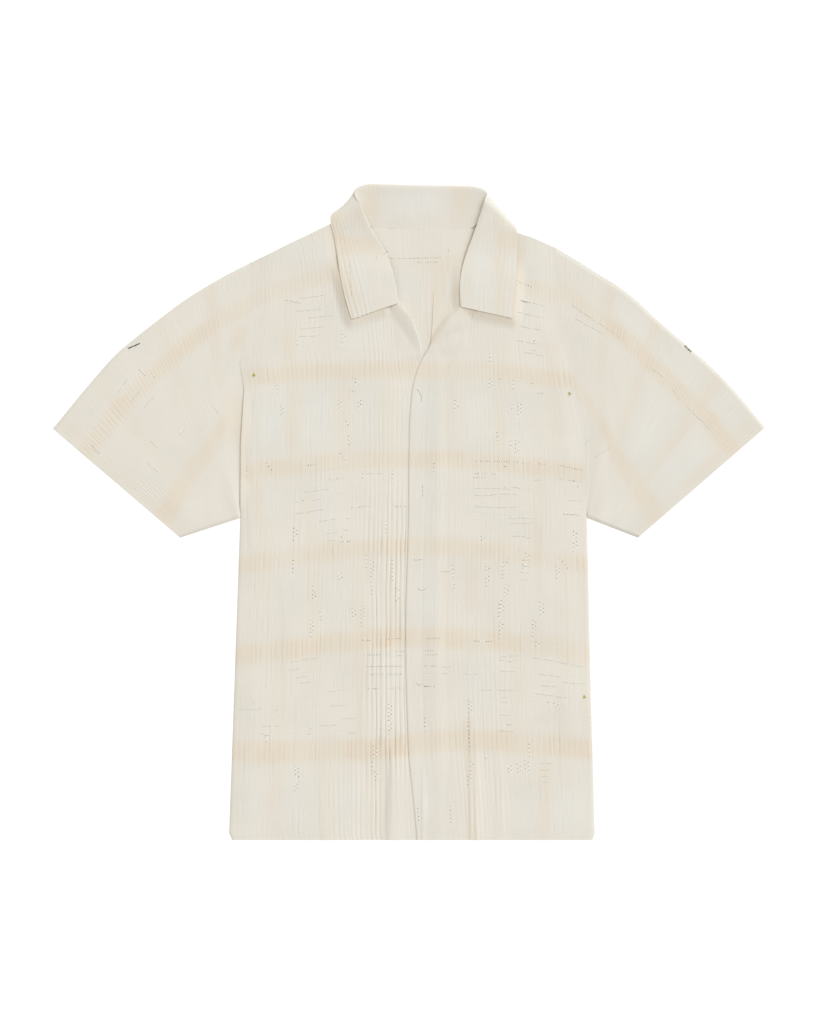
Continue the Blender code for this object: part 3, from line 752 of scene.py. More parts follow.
# Soft folds: x, y of one end, x, y of the other, width of the steep side, width of the slow side, depth.
# The cloth rises across the steep side, which faces -X, and comes down again on the slow one. A depth below 0
# is a hollow, whose slow side comes first. Below the hem an end is cut off.
folds = (
    (-22.0, -262.0, -28.0, -430.0, 11.0, 40.0, -1.5),
    (-22.0, -262.0, -28.0, -430.0, 11.0, 16.0, 0.8),
    (69.5, -195.0, 71.0, -430.0, 2.6, 12.0, 0.8),
    (75.5, -240.0, 78.0, -430.0, 2.6, 12.0, 0.7),
    (101.0, -255.0, 102.0, -430.0, 2.4, 10.0, 0.3),
    (106.0, -265.0, 107.0, -430.0, 2.4, 10.0, 0.3),
    (-106.0, -300.0, -100.0, -430.0, 5.0, 20.0, 0.4),
    (-194.0, 95.0, -187.0, 30.0, 3.0, 12.0, 0.5),
    (-193.0, 40.0, -186.0, -60.0, 3.0, 12.0, 0.4),
    (-60.0, -190.0, -56.0, -300.0, 6.0, 24.0, 0.35),
    (-150.0, -60.0, -146.0, -260.0, 7.0, 28.0, 0.3),
    (36.0, -190.0, 38.0, -330.0, 5.0, 20.0, 0.25),
    (150.0, 20.0, 152.0, -120.0, 7.0, 28.0, 0.3),
    (178.0, -190.0, 176.0, -330.0, 6.0, 24.0, 0.3),
)
# Near the hem a line runs up the band, nearer its free edge than the seam is
bandFolds = ((14.8, -285.0, 14.3, -430.0, 1.6, 7.0, 0.4),)


def foldHeight(x, y, table):
    total = np.zeros_like(x)
    for startX, startY, endX, endY, width, slow, depth in table:
        along = (y - startY) / (endY - startY)
        away = x - (startX + (endX - startX) * along)
        ends = ease(along / 0.35) * ease((1 - along) / 0.3)
        slowSide = ease((away - 0.7 * width) / slow) if depth > 0 else ease(away / slow + 1.2)
        total += abs(depth) * ends * (ease(away / width + 0.5) - slowSide)
    return total


def softHills(seed, x, y):
    # slow unevenness of cloth that lies on cloth
    return 0.28 * cloud(seed, x, y, 70, 110, 1) + 0.12 * cloud(seed + 1, x, y, 24, 60, 1)


def sideCurl(x, y, sideX):
    # a quarter circle down to the side seam, below the underarm only
    away = np.abs(x - sideX) / body["curlReach"]
    return body["curl"] * (1 - np.sqrt(1 - (1 - np.clip(away, 0, 1)) ** 2)) * ease((10 - y) / 20)


def wander(seed, x, y):
    # pleats run a little to one side and back, less at the sides of a panel
    inside = ease((x - x[:, :1]) / 12) * ease((x[:, -1:] - x) / 12)
    return 0.7 * cloud(seed, x, y, 16, 55) * inside


def opennessRight(x, y):
    # the pleats stand open beside the placket, most of all low down
    beside = ease((x + 62) / 24)
    low = 0.16 + 0.16 * ease((130 - y) / 50) + 0.68 * ease((70 - y) / 170)
    spread = 0.5 * ease((x + 95) / 40) * ease((-250 - y) / 90)
    return np.maximum(beside * low, spread)


def opennessLeft(x, y):
    # a group of pleats below the chest, growing towards the hem, and faintly the cloth over it
    middle = bell((x - 88) / 44) * (0.05 + 0.32 * ease((-40 - y) / 180))
    yoke = 0.04 * bell((x - 75) / 55) * ease((y - 90) / 60)
    return np.maximum(middle, yoke)


def shownPleats(openPleats, past, clear):
    # pleats are pressed out on the roll, past it and under a leaf
    return (0.35 + 0.65 * openPleats) * (1 - 0.8 * past) * (0.3 + 0.7 * clear)


def makeRightFront():
    width = rightFront["edge"][0][1] - body["sideRight"][0][1]
    seed = rightFront["seed"]
    across, phase = pleatColumns(seed, width)
    edge = smoothTable(rightFront["edge"])
    x, y = panel(body["sideRight"], edge, rightFront["top"], across, rightFront["rows"])
    x = x + wander(seed + 5, x, y)
    crest = pleatCrest(phase)[None, :]
    roll, openPleats, past = neckRoll(x, y, rightFront["roll"], 1)
    swell, covered = leafSwell(x, y, "right")
    clear = 1 - covered
    masks = bodyMasks(x, y, 0.0)
    opened = np.maximum(opennessRight(x, y), bodyBands["opened"] * masks[..., 0])
    # painted shade: warm brown beside the right leaf
    paintShadeBesideLeaf(masks, covered)
    strength = pleatStrength(seed + 1, phase[None, :], y, opened, rightFront["quiet"])
    overEdge = curveAt(y, *np.array(leftFront["edge"]).T)
    underLap = ease((x - overEdge + 4) / 4) * ease((196 - y) / 10)    # 1 where the left front lies over it
    shown = shownPleats(openPleats, past, clear) * (1 - underLap)
    shown *= 1 - 0.85 * ease((x + 34) / 8) * ease((-285 - y) / 40)    # beside the placket the hem is smooth
    atArmhole = 1 - ease((x - x[:, :1]) / 10)
    overSleeve = body["overSleeve"] * atArmhole * ease((y + 8) / 16) * ease((150 - y) / 30)
    base = body["frontHeight"] + riseOver(x, y) + np.maximum(roll, swell) - body["neckDrop"] * past
    toLap = np.where(y < 180, ease((overEdge - x) / 32), 1 - underLap)
    puff = rightFront["puff"] * openPleats * toLap * ease((x - x[:, :1]) / 25) * (1 - past) * clear
    loose = (1 - underLap) * (1 - past) * clear * ease((x - x[:, :1]) / 18)
    top = base + puff + (foldHeight(x, y, folds) + softHills(seed + 4, x, y)) * loose + overSleeve
    top += rightFront["depth"] * strength * shown * (crest - 0.5) - sideCurl(x, y, x[:, :1])
    top, wall = feather(x, y, past, top, rightFront["top"])
    # painted shade in the pleats' valleys
    masks[..., 3] = (1 - crest) * np.clip(strength * shown, 0, 1)
    piece = layPiece("frontRight", x, y, top, top - wall, masks)
    finishPiece(piece, "front_right", pleatedCloth)
    return piece


def feather(x, y, past, top, topLine):
    # in the neck a front thins to nothing towards its upper end, so that it lies into the back
    topX, topY = np.array(topLine).T
    gap = np.interp(x, topX, topY) - y
    share = (1 - ease(gap / body["featherReach"])) * ease(past / 0.5)
    wall = cloth["wall"] - body["neckThin"] * past
    ground = riseOver(x, y) + neckHill(x, y)
    top = np.maximum(top, cloth["wall"] + body["featherHeight"] + wall + ground)
    top = top + (cloth["wall"] + body["featherHeight"] + ground - top) * share
    return top, wall + (body["featherWall"] - wall) * share


def seamShows(y):
    # the line of the band's seam fades out towards the neck and the hem
    return ease((140 - y) / 80) * ease((y + 320) / 60)


def bandSeam():
    # where the band meets the left front: the free edge moved in by the band's width, as y, x
    y, x = smoothTable(leftFront["edge"], 260).T
    bend = leftFront["bandBendsY"]
    x = x + leftFront["bandWidth"]
    topX, topY = np.array(leftFront["top"]).T
    squeeze = (np.interp(x[-1], topX, topY) - bend) / (y[-1] - bend)
    return np.column_stack([np.where(y > bend, bend + (y - bend) * squeeze, y), x])


def leftFrontBase(x, y):
    # upper side of the overlapping front: on the other front, then down to the back
    fromX, toX, fromY, toY = leftFront["lapped"]
    lapped = (1 - ease((x - fromX) / (toX - fromX))) * (1 - ease((y - fromY) / (toY - fromY)))
    roll, openPleats, past = neckRoll(x, y, leftFront["roll"], -1)
    swell, covered = leafSwell(x, y, "left")
    base = body["frontHeight"] + leftFront["lap"] * lapped + riseOver(x, y) + np.maximum(roll, swell)
    return base - body["neckDrop"] * past, openPleats, past, 1 - covered


def makeLeftFront():
    seam = bandSeam()
    width = body["sideLeft"][0][1] - seam[0, 1]
    seed = leftFront["seed"]
    across, phase = pleatColumns(seed, width)
    x, y = panel(seam, body["sideLeft"], leftFront["top"], across, leftFront["rows"])
    x = x + wander(seed + 5, x, y)
    crest = pleatCrest(phase)[None, :]
    masks = bodyMasks(x, y, 0.0)
    opened = np.maximum(opennessLeft(x, y), bodyBands["opened"] * masks[..., 0])
    base, openPleats, past, clear = leftFrontBase(x, y)
    # painted shade: warm brown beside the left leaf
    paintShadeBesideLeaf(masks, 1 - clear)
    strength = pleatStrength(seed + 1, phase[None, :], y, opened, leftFront["quiet"])
    fromSeam = ease((x - x[:, :1]) / 8.0)
    shown = shownPleats(openPleats, past, clear) * fromSeam
    inside = ease((x[:, -1:] - x) / 25) * ease((x - x[:, :1]) / 20)
    puff = leftFront["puff"] * openPleats * inside * (1 - past) * clear
    loose = fromSeam * (1 - past) * clear * ease((x[:, -1:] - x) / 18)
    top = base + puff + (foldHeight(x, y, folds) + softHills(seed + 4, x, y)) * loose
    top += leftFront["depth"] * strength * shown * (crest - 0.5) - sideCurl(x, y, x[:, -1:])
    top -= leftFront["groove"] * bell((x - x[:, :1]) / 1.4) * seamShows(y)
    top, wall = feather(x, y, past, top, leftFront["top"])
    # painted shade in the pleats' valleys
    masks[..., 3] = (1 - crest) * np.clip(strength * shown, 0, 1)
    piece = layPiece("frontLeft", x, y, top, top - wall, masks)
    finishPiece(piece, "front_left", pleatedCloth)
    return piece


def makeBand():
    # the smooth strip along the free edge, whose border is rounded down
    seam = bandSeam()
    seam[:, 1] -= leftFront["bandGap"]
    columns, rows = leftFront["bandGrid"]
    across = np.linspace(0, 1, columns)
    x, y = panel(smoothTable(leftFront["edge"], 260), seam, leftFront["top"], across, rows)
    base, _, past, _ = leftFrontBase(x, y)
    top = base + foldHeight(x, y, bandFolds)
    top -= leftFront["groove"] * bell((x - x[:, -1:]) / 1.4) * seamShows(y)
    top += 0.1 * cloud(41, x, y, 9, 60) * (1 - past)
    soft = 1 - ease((x - x[:, :1]) / 1.6)
    top = top - 0.35 * soft**2
    top, wall = feather(x, y, past, top, leftFront["top"])
    # painted shade along the band's rounded free edge, through the valley channel
    piece = layPiece("frontBand", x, y, top, top - wall, bodyMasks(x, y, 0.2 * soft))
    finishPiece(piece, "front_band", smoothCloth)
    return piece


frontRight = makeRightFront()
frontLeft = makeLeftFront()
frontBand = makeBand()


# Sleeves

sleeves = {
    "rightTop": (
        (-185.0, 292.0), (-207.0, 281.0), (-232.0, 267.0), (-264.0, 247.0), (-294.0, 224.5),
        (-322.0, 202.5), (-340.5, 187.0), (-366.0, 159.0), (-417.0, 97.5),
    ),
    "leftTop": (
        (172.0, 309.0), (193.0, 296.5), (220.0, 279.5), (243.0, 265.5), (267.0, 247.0), (292.0, 223.5),
        (319.5, 200.0), (334.5, 187.0), (368.5, 155.5), (417.0, 99.0),
    ),
    "rightCuffEnd": (-268.0, -30.0),
    "leftCuffEnd": (268.0, -30.0),
    "height": 3.3,
    "fold": 2.6,           # radius of the folds along both sides
    "depth": 0.8,
    "quiet": 0.06,
    "fan": 2.6,            # above 1 the pleats crowd at the underarm and run parallel near the cuff
    "gap": 0.03,           # to the body, at the armhole
    "around": 64,          # points along one side of a ring
    "flat": (0.335, 0.60),
    "area": 0.087,
}
# Bands round the sleeve: distance from the upper fold, half width, strength. Bands along its pleats are
# placed by their distance from the cuff
sleeveRows = ((47.0, 10.5, 0.9), (165.0, 12.0, 0.9))
sleeveColumns = ((14.0, 8.5, 0.4), (79.0, 9.0, 0.5), (178.0, 9.0, 0.45), (249.0, 9.0, 0.45))
# Paler squares: distance from the cuff, from the upper fold, half sizes, strength
sleeveCells = (
    (46.0, 18.0, 22.0, 16.0, 0.7), (46.0, 106.0, 22.0, 42.0, 0.9), (128.0, 20.0, 34.0, 16.0, 0.5),
    (128.0, 106.0, 34.0, 42.0, 0.7), (213.0, 18.0, 24.0, 16.0, 0.5), (46.0, 225.0, 24.0, 36.0, 0.7),
    (110.0, 225.0, 24.0, 36.0, 0.4),
)


def sleevePeach(seed, fromCuff, distance, whiteness):
    peach = np.zeros_like(distance)
    for place, halfWidth, amount in sleeveRows:
        patchy = 0.85 + 0.3 * cloud(int(place) + seed, fromCuff, distance, 30, 40)
        sway = 2.5 * cloud(seed + 7, fromCuff, place, 40, 40)
        fades = 0.6 + 0.4 * ease((300 - fromCuff) / 70)
        peach = np.maximum(peach, amount * fades * patchy * bandMask(distance - place - sway, halfWidth))
    for place, halfWidth, amount in sleeveColumns:
        patchy = 0.75 + 0.45 * cloud(int(place) + seed, fromCuff, distance, 30, 40)
        fades = 1 - 0.65 * ease((distance - 60) / 110)
        column = amount * patchy * bandMask(fromCuff - place, halfWidth) * fades
        peach = peach + 0.75 * column * (1 - 0.6 * peach)
    return peach - whiteness * paleCells(fromCuff, distance, sleeveCells) * (1 - np.clip(2 * peach, 0, 1))


def opennessSleeve(fromCuff, distance):
    # the pleats stand open a little near the cuff, away from the upper fold, and in the upper band
    atCuff = 0.34 * ease((52 - fromCuff) / 25) * ease((distance - 85) / 50) * ease((fromCuff - 4) / 10)
    onBand = 0.25 * bandMask(distance - sleeveRows[0][0], 11) * ease((330 - fromCuff) / 120)
    return np.maximum(atCuff, onBand)


def roundTube(over, under):
    # the rings of a tube: the upper side from the upper fold down, then the lower side back up
    return np.concatenate([over, under[:, ::-1][:, 1:-1]], axis=1)


def makeSleeve(name, node, seed, side, top, cuffEnd, armholeHeights, shadeAndPeachPatches, whiteness):
    # rings from the armhole to the cuff, each a pleat's line over the sleeve and back under it; a ring's
    # upper end is at its share of the upper fold, and its lower end at that share to a power on the way from
    # the underarm to the cuff's end
    heights, places = np.array(body[side])[5:].T
    away = np.sign(cuffEnd[0])
    topLine = np.array(top)
    lengths = np.concatenate([[0], np.cumsum(np.linalg.norm(np.diff(topLine, axis=0), axis=1))])
    part, phase = pleatColumns(seed, lengths[-1])
    upper = curveAt(part * lengths[-1], lengths, topLine)
    underarm = np.array([places[0], heights[0]])
    lower = underarm + (np.array(cuffEnd) - underarm) * (part ** sleeves["fan"])[:, None]
    crest = pleatCrest(phase)[:, None]
    length = np.linalg.norm(upper - lower, axis=1)[:, None]
    even = np.linspace(0, 1, sleeves["around"])
    across = 0.35 * (1 - np.cos(np.pi * even)) / 2 + 0.65 * even    # from fold to fold, closer at both
    distance = across[None, :] * length                             # from the upper fold, in mm
    fromEnds = np.minimum(distance, length - distance)
    # quarter circle at each fold
    rounded = np.sqrt(1 - (1 - np.clip(fromEnds / sleeves["fold"], 0, 1)) ** 2)
    # the pleats are shallower where they crowd
    spread = ease((length - distance) / (0.55 * length))            # 0 at the underarm, 1 in the upper half
    bunch = part[:, None] ** 1.5
    fromCuff = (1 - part[:, None]) * lengths[-1] + 0 * distance
    opened = opennessSleeve(fromCuff, distance)
    strength = pleatStrength(seed + 1, phase[:, None], distance, opened, sleeves["quiet"])
    depth = sleeves["depth"] * strength * (bunch + (1 - bunch) * spread)
    hills = 0.3 * cloud(seed + 3, fromCuff, distance, 60, 80, 1) * ease(fromEnds / 20)
    relief = depth * (crest - 0.5) + hills * ease(part / 0.08)[:, None]
    # height of the tube: the armhole's own, then the sleeve's
    seamY = heights[0] + (heights[-1] - heights[0]) * (1 - across)
    atArmhole = np.interp(seamY, *np.array(armholeHeights).T)[None, :]
    height = sleeves["height"] + (atArmhole - sleeves["height"]) * (1 - ease(part / 0.3))[:, None]
    high = height * (0.5 + 0.5 * rounded) + relief * rounded
    low = height * (0.5 - 0.5 * rounded) + 0.5 * depth * (1 - crest) * rounded
    # the armhole follows the body's side, and the upper fold has a small scallop at each pleat
    straight = places[0] + (places[-1] - places[0]) * (1 - across)
    bulge = np.interp(seamY, heights, places) - straight
    scallop = 0.45 * (crest - 0.6) * bell(across / 0.02) * ease(part[:, None] / 0.05)
    direction = (upper - lower) / length
    outward = np.stack([-np.gradient(upper[:, 1]), np.gradient(upper[:, 0])], axis=1)
    outward /= np.linalg.norm(outward, axis=1, keepdims=True)
    outward *= np.sign((outward * direction).sum(axis=1, keepdims=True))

    def ring(inset):
        # the tube's points, moved into its wall by the inset
        share = np.clip(across[None, :], inset / length, 1 - inset / length)
        base = upper[:, None, :] + (lower - upper)[:, None, :] * share[..., None]
        base[..., 0] += bulge[None, :] * ((1 - part) ** 3)[:, None] + away * sleeves["gap"]
        base += outward[:, None, :] * scallop[..., None]
        thinner = inset * (2 * rounded - 1)
        over = np.concatenate([base, (high - thinner)[..., None]], axis=-1)
        under = np.concatenate([base, (low + thinner)[..., None]], axis=-1)
        return roundTube(over, under)

    peach = sleevePeach(seed, fromCuff, distance, whiteness)
    worldX = upper[:, None, 0] + (lower - upper)[:, None, 0] * across
    worldY = upper[:, None, 1] + (lower - upper)[:, None, 1] * across
    # patches added to the peach mask: painted brown shade where the body's edge shades the sleeve, and peach
    # beside it
    for patchX, patchY, halfX, halfY, amount in shadeAndPeachPatches:
        patchShare = bandMask(worldX - patchX, halfX) * bandMask(worldY - patchY, halfY)
        peach = np.maximum(peach, amount * patchShare)
    weft = np.clip(0.1 + 0.5 * cloud(seed + 4, fromCuff, distance, 50, 40), 0, 1)
    warp = np.clip(0.05 + 0.5 * cloud(seed + 5, fromCuff, distance, 40, 60), 0, 1)
    # painted shade in the pleats' valleys, through the last mask
    masks = np.stack([peach, weft, warp, (1 - crest) * np.clip(depth, 0, 1)], axis=-1)
    level = np.stack([fromCuff, 287.0 - distance], axis=-1)
    uv = roundTube(level, level * (1, -1))
    piece = shell(name, ring(0.0), ring(cloth["wall"]), uv, roundTube(masks, masks), around=True)
    finishPiece(piece, node, pleatedCloth)
    return piece


# Heights of each sleeve at its armhole, as y and z: flush with the body, or lower where the body lies over it
sleeveRight = makeSleeve(
    "sleeveRight", "sleeve_right", 51, "sideRight", sleeves["rightTop"], sleeves["rightCuffEnd"],
    ((-7.0, 1.9), (140.0, 1.9), (165.0, 2.3), (215.0, 2.75), (292.0, 2.75)),
    # painted shade under the body's edge at the armhole, then a peach patch beside it
    ((-199.0, 203.0, 10.0, 15.0, 0.55), (-205.0, 108.0, 11.0, 28.0, 0.6)), 0.6)
sleeveLeft = makeSleeve(
    "sleeveLeft", "sleeve_left", 61, "sideLeft", sleeves["leftTop"], sleeves["leftCuffEnd"],
    ((-7.0, 2.6), (309.0, 2.75)), (), 1.0)


# Collar

collar = {
    # from the right leaf round the neck to the left leaf: seam x, y, z; crease x, y, z; outer edge x, y, z;
    # half height of the turn, above 0 where the stand is on top
    "sections": (
        (-19.0, 241.5, 7.4, -13.0, 244.0, 7.9, -67.0, 225.5, 7.9, -0.2),
        (-29.0, 258.5, 7.4, -15.0, 262.0, 8.0, -75.0, 252.5, 7.9, -0.2),
        (-39.0, 277.0, 7.0, -20.5, 285.5, 7.2, -81.0, 281.5, 7.25, -0.2),
        (-50.0, 297.0, 5.5, -29.0, 306.5, 5.4, -85.0, 307.0, 5.2, -0.25),
        (-58.0, 316.0, 4.9, -40.0, 324.0, 6.0, -88.5, 326.0, 4.9, -0.45),
        (-62.0, 331.0, 5.2, -49.0, 341.5, 7.4, -91.5, 338.0, 5.3, -0.6),
        (-60.5, 347.0, 5.3, -56.0, 358.0, 8.0, -91.0, 347.5, 3.2, -0.2),
        (-54.0, 342.5, 3.9, -64.0, 375.0, 4.2, -81.0, 351.0, 0.6, 1.4),
        (-43.5, 334.0, 2.2, -50.5, 383.4, 2.8, -59.0, 326.0, 0.6, 2.0),
        (-22.0, 332.2, 1.95, -24.5, 383.4, 2.8, -29.0, 321.5, 0.6, 2.0),
        (13.0, 330.65, 1.95, 13.0, 382.5, 2.8, 13.0, 320.5, 0.6, 2.0),
        (50.5, 330.58, 1.95, 53.0, 382.0, 2.8, 57.0, 321.5, 0.6, 2.0),
        (72.5, 332.0, 2.2, 79.5, 380.5, 2.8, 88.0, 326.0, 0.6, 2.0),
        (82.0, 340.5, 3.9, 91.0, 374.5, 4.2, 109.0, 348.0, 0.6, 1.4),
        (88.5, 345.0, 5.6, 88.5, 365.0, 9.0, 120.5, 339.0, 3.4, -0.2),
        (94.0, 333.0, 5.2, 84.0, 351.0, 7.4, 126.0, 329.0, 5.3, -0.6),
        (92.0, 318.0, 4.9, 76.5, 328.0, 5.8, 127.5, 315.0, 4.9, -0.45),
        (86.0, 298.0, 5.5, 67.5, 303.0, 5.3, 126.5, 296.0, 5.5, -0.25),
        (79.0, 280.0, 7.0, 61.5, 282.0, 6.3, 125.5, 275.0, 7.6, -0.2),
        (72.0, 261.0, 7.4, 59.5, 261.5, 7.4, 123.5, 251.5, 7.9, -0.2),
        (66.0, 240.5, 7.4, 60.5, 240.0, 7.5, 121.0, 226.5, 7.9, -0.2),
    ),
    # half width of the turn: the least, what each mm of its half height adds, and what the left leaf adds
    "creaseWidth": (0.3, 0.9, 1.8),
    "wall": 0.34,
    # the leaves' middle over the cloth below, by the place across: 2.6 at the crease, 7 at the outer edge
    "clearance": ((0.0, 0.25), (2.2, 0.25), (2.6, 0.45), (3.0, 0.5), (4.6, 0.45), (5.4, 0.27), (7.0, 0.25)),
    "tautness": 60,        # rounds in which their lift over that cloth is spread
    "alongIt": 190,        # points from one leaf's tip to the other's
    "across": (30, 14, 58),   # and up the stand, over the turn and down the fall
    "rightDepth": 0.5,     # of the pleats that show on each leaf
    "leftDepth": 0.22,
    "flat": (0.16, 0.42),
    "area": 0.036,
}


def heightAt(x, y, pieces):
    # highest of some pieces under a point, in mm, or None beside them
    best = None
    for piece in pieces:
        hit, place, _, _ = piece.ray_cast(Vector((x * mm, y * mm, 0.05)), Vector((0, 0, -1)))
        if hit and (best is None or place.z > best):
            best = place.z
    return None if best is None else best / mm


def restOn(points, onLeaf, where, pieces):
    # lift each point of the leaves that would lie in the cloth under them; the fall keeps clear of the stand
    clearance = np.interp(where, *np.array(collar["clearance"]).T)
    lift = np.zeros(points.shape[:2])
    for row, column in np.argwhere(np.broadcast_to(onLeaf > 0, lift.shape)):
        ground = heightAt(points[row, column, 0], points[row, column, 1], pieces)
        if ground is not None:
            lift[row, column] = max(0.0, ground + clearance[column] - points[row, column, 2])
    needed = lift
    for _ in range(collar["tautness"]):   # taut cloth: each point at least at the mean of its neighbours
        framed = np.pad(lift, 1, mode="edge")
        mean = (framed[:-2, 1:-1] + framed[2:, 1:-1] + framed[1:-1, :-2] + framed[1:-1, 2:]) / 4
        lift = np.maximum(needed, mean)
    points[..., 2] += lift * onLeaf


def collarPeach(x, y, fall, leafRight, leafLeft):
    # the bands that cross the stand and each leaf, and the paler squares
    onStand = ease((y - 330) / 12) * (1 - leafRight) * (1 - leafLeft)
    peach = onStand * (0.5 * bandMask(x + 44, 10) + 0.45 * bandMask(x - 60, 11) + 0.35 * bandMask(y - 326, 8))
    peach = peach + leafRight * 0.7 * bandMask((fall - 0.93) * 52, 9) * ease((y - 225) / 30)
    peach = peach + leafRight * 0.6 * bandMask(y - 312, 11) + leafRight * 0.4 * bandMask(y - 350, 14)
    peach = peach + leafLeft * 0.75 * bandMask(y - 317, 13) * ease((x - 98) / 14)
    peach = peach + leafLeft * 0.4 * bandMask(x - 107, 6)
    peach = np.clip(peach * (0.8 + 0.4 * cloud(73, x, y, 20, 20)), 0, 1)
    cells = ((-57.0, 277.0, 9.0, 18.0, 0.6), (86.0, 277.0, 10.0, 34.0, 0.9), (10.0, 362.0, 38.0, 16.0, 0.8))
    return peach - paleCells(x, y, cells) * (1 - np.clip(2 * peach, 0, 1))


def makeCollar():
    # a folded sheet: each section is a smooth curve from the seam up the stand, over the turn, down the fall
    table = np.array(collar["sections"])
    last = len(table) - 1
    at = np.linspace(0, last, collar["alongIt"])
    rows = curveAt(at, np.arange(len(table)), table)
    seam, crease, edge, turn = rows[:, 0:3], rows[:, 3:6], rows[:, 6:9], rows[:, 9:10]
    flatWays = np.array([1.0, 1.0, 0.0])
    toSeam, toEdge = (seam - crease) * flatWays, (edge - crease) * flatWays
    toSeam /= np.linalg.norm(toSeam, axis=1, keepdims=True)
    toEdge /= np.linalg.norm(toEdge, axis=1, keepdims=True)
    up = np.array([0.0, 0.0, 1.0]) * turn
    least, more, onLeft = collar["creaseWidth"]
    width = least + more * np.abs(turn) + onLeft * ease((at - 13.5) / 3.0)[:, None]
    standTop = crease + toSeam * width + up
    fallTop = crease + toEdge * width - up
    stops = [seam + (standTop - seam) * part for part in (0.0, 0.4, 0.75, 1.0)] + [crease]
    stops = np.array(stops + [fallTop + (edge - fallTop) * part for part in (0.0, 0.25, 0.5, 0.75, 1.0)])
    knots = np.array([0.0, 0.9, 1.7, 2.2, 2.6, 3.0, 4.0, 5.0, 6.0, 7.0])
    standCount, turnCount, fallCount = collar["across"]
    where = np.concatenate([np.linspace(0, 2.2, standCount)[:-1], np.linspace(2.2, 3.0, turnCount)[:-1],
                            np.linspace(3.0, 7.0, fallCount)])
    points = curveAt(where, knots, stops).transpose(1, 0, 2)
    fall = (where[None, :] - 3.0) / 4.0                            # 0 at the crease, 1 at the outer edge
    leafRight = ease((6.5 - at) / 1.5)[:, None]                    # 1 on the wearer's right leaf
    leafLeft = ease((at - 13.5) / 1.5)[:, None]
    restOn(points, np.maximum(leafRight, leafLeft), where, (frontRight, frontLeft, frontBand, backPanel))
    # pleats run along the leaves, deepest at their tips and uneven
    phase = where[None, :] * 2.6 + 0.15 * np.sin(at * 1.7)[:, None]
    crest = pleatCrest(phase)
    depth = leafRight * ease((fall - 0.42) / 0.25) * collar["rightDepth"]
    depth = depth + leafLeft * ease((fall - 0.1) / 0.3) * collar["leftDepth"]
    tip = np.maximum(bell(at / 2.2), bell((at - last) / 2.2))[:, None]
    uneven = 0.8 + 0.5 * cloud(72, np.floor(phase) * 9.1, at[:, None], 9.1, 3)
    depth = depth * (0.7 + 0.5 * tip) * np.clip(uneven, 0.2, 1.4)
    half = normalsOf(points) * collar["wall"] / 2
    points[..., 2] += depth * (crest - 0.5)
    # scallops of the leaves' lower edges
    atEnds = (bell((at - last) / 0.7) - bell(at / 0.7))[:, None]
    ripple = 0.8 * (crest - 0.5) * np.minimum(depth * 2.2, 1.0) * atEnds
    alongWay = np.gradient(points, axis=0)
    alongWay /= np.linalg.norm(alongWay, axis=2, keepdims=True)
    points += alongWay * ripple[..., None]
    x, y = points[..., 0], points[..., 1]
    peach = collarPeach(x, y, fall, leafRight, leafLeft)
    weft = np.clip(0.05 + 0.5 * cloud(74, x, y, 30, 30), 0, 1)
    # painted shade in the pleats' valleys, through the last mask
    masks = np.stack([peach, weft, weft * 0.4, (1 - crest) * np.clip(depth, 0, 1)], axis=-1)
    piece = shell("shirtCollar", points + half, points - half, np.stack([x, y], axis=-1), masks)
    finishPiece(piece, "collar", smoothCloth)
    return piece


bpy.context.view_layer.update()
collarPiece = makeCollar()
print("cloth made")


# Threads that float on the cloth, and the small stitched marks, charted

photo = {"pixel": 1.17, "middleX": 409.0, "middleY": 512.0}   # mm in a pixel, and the pixel over the origin

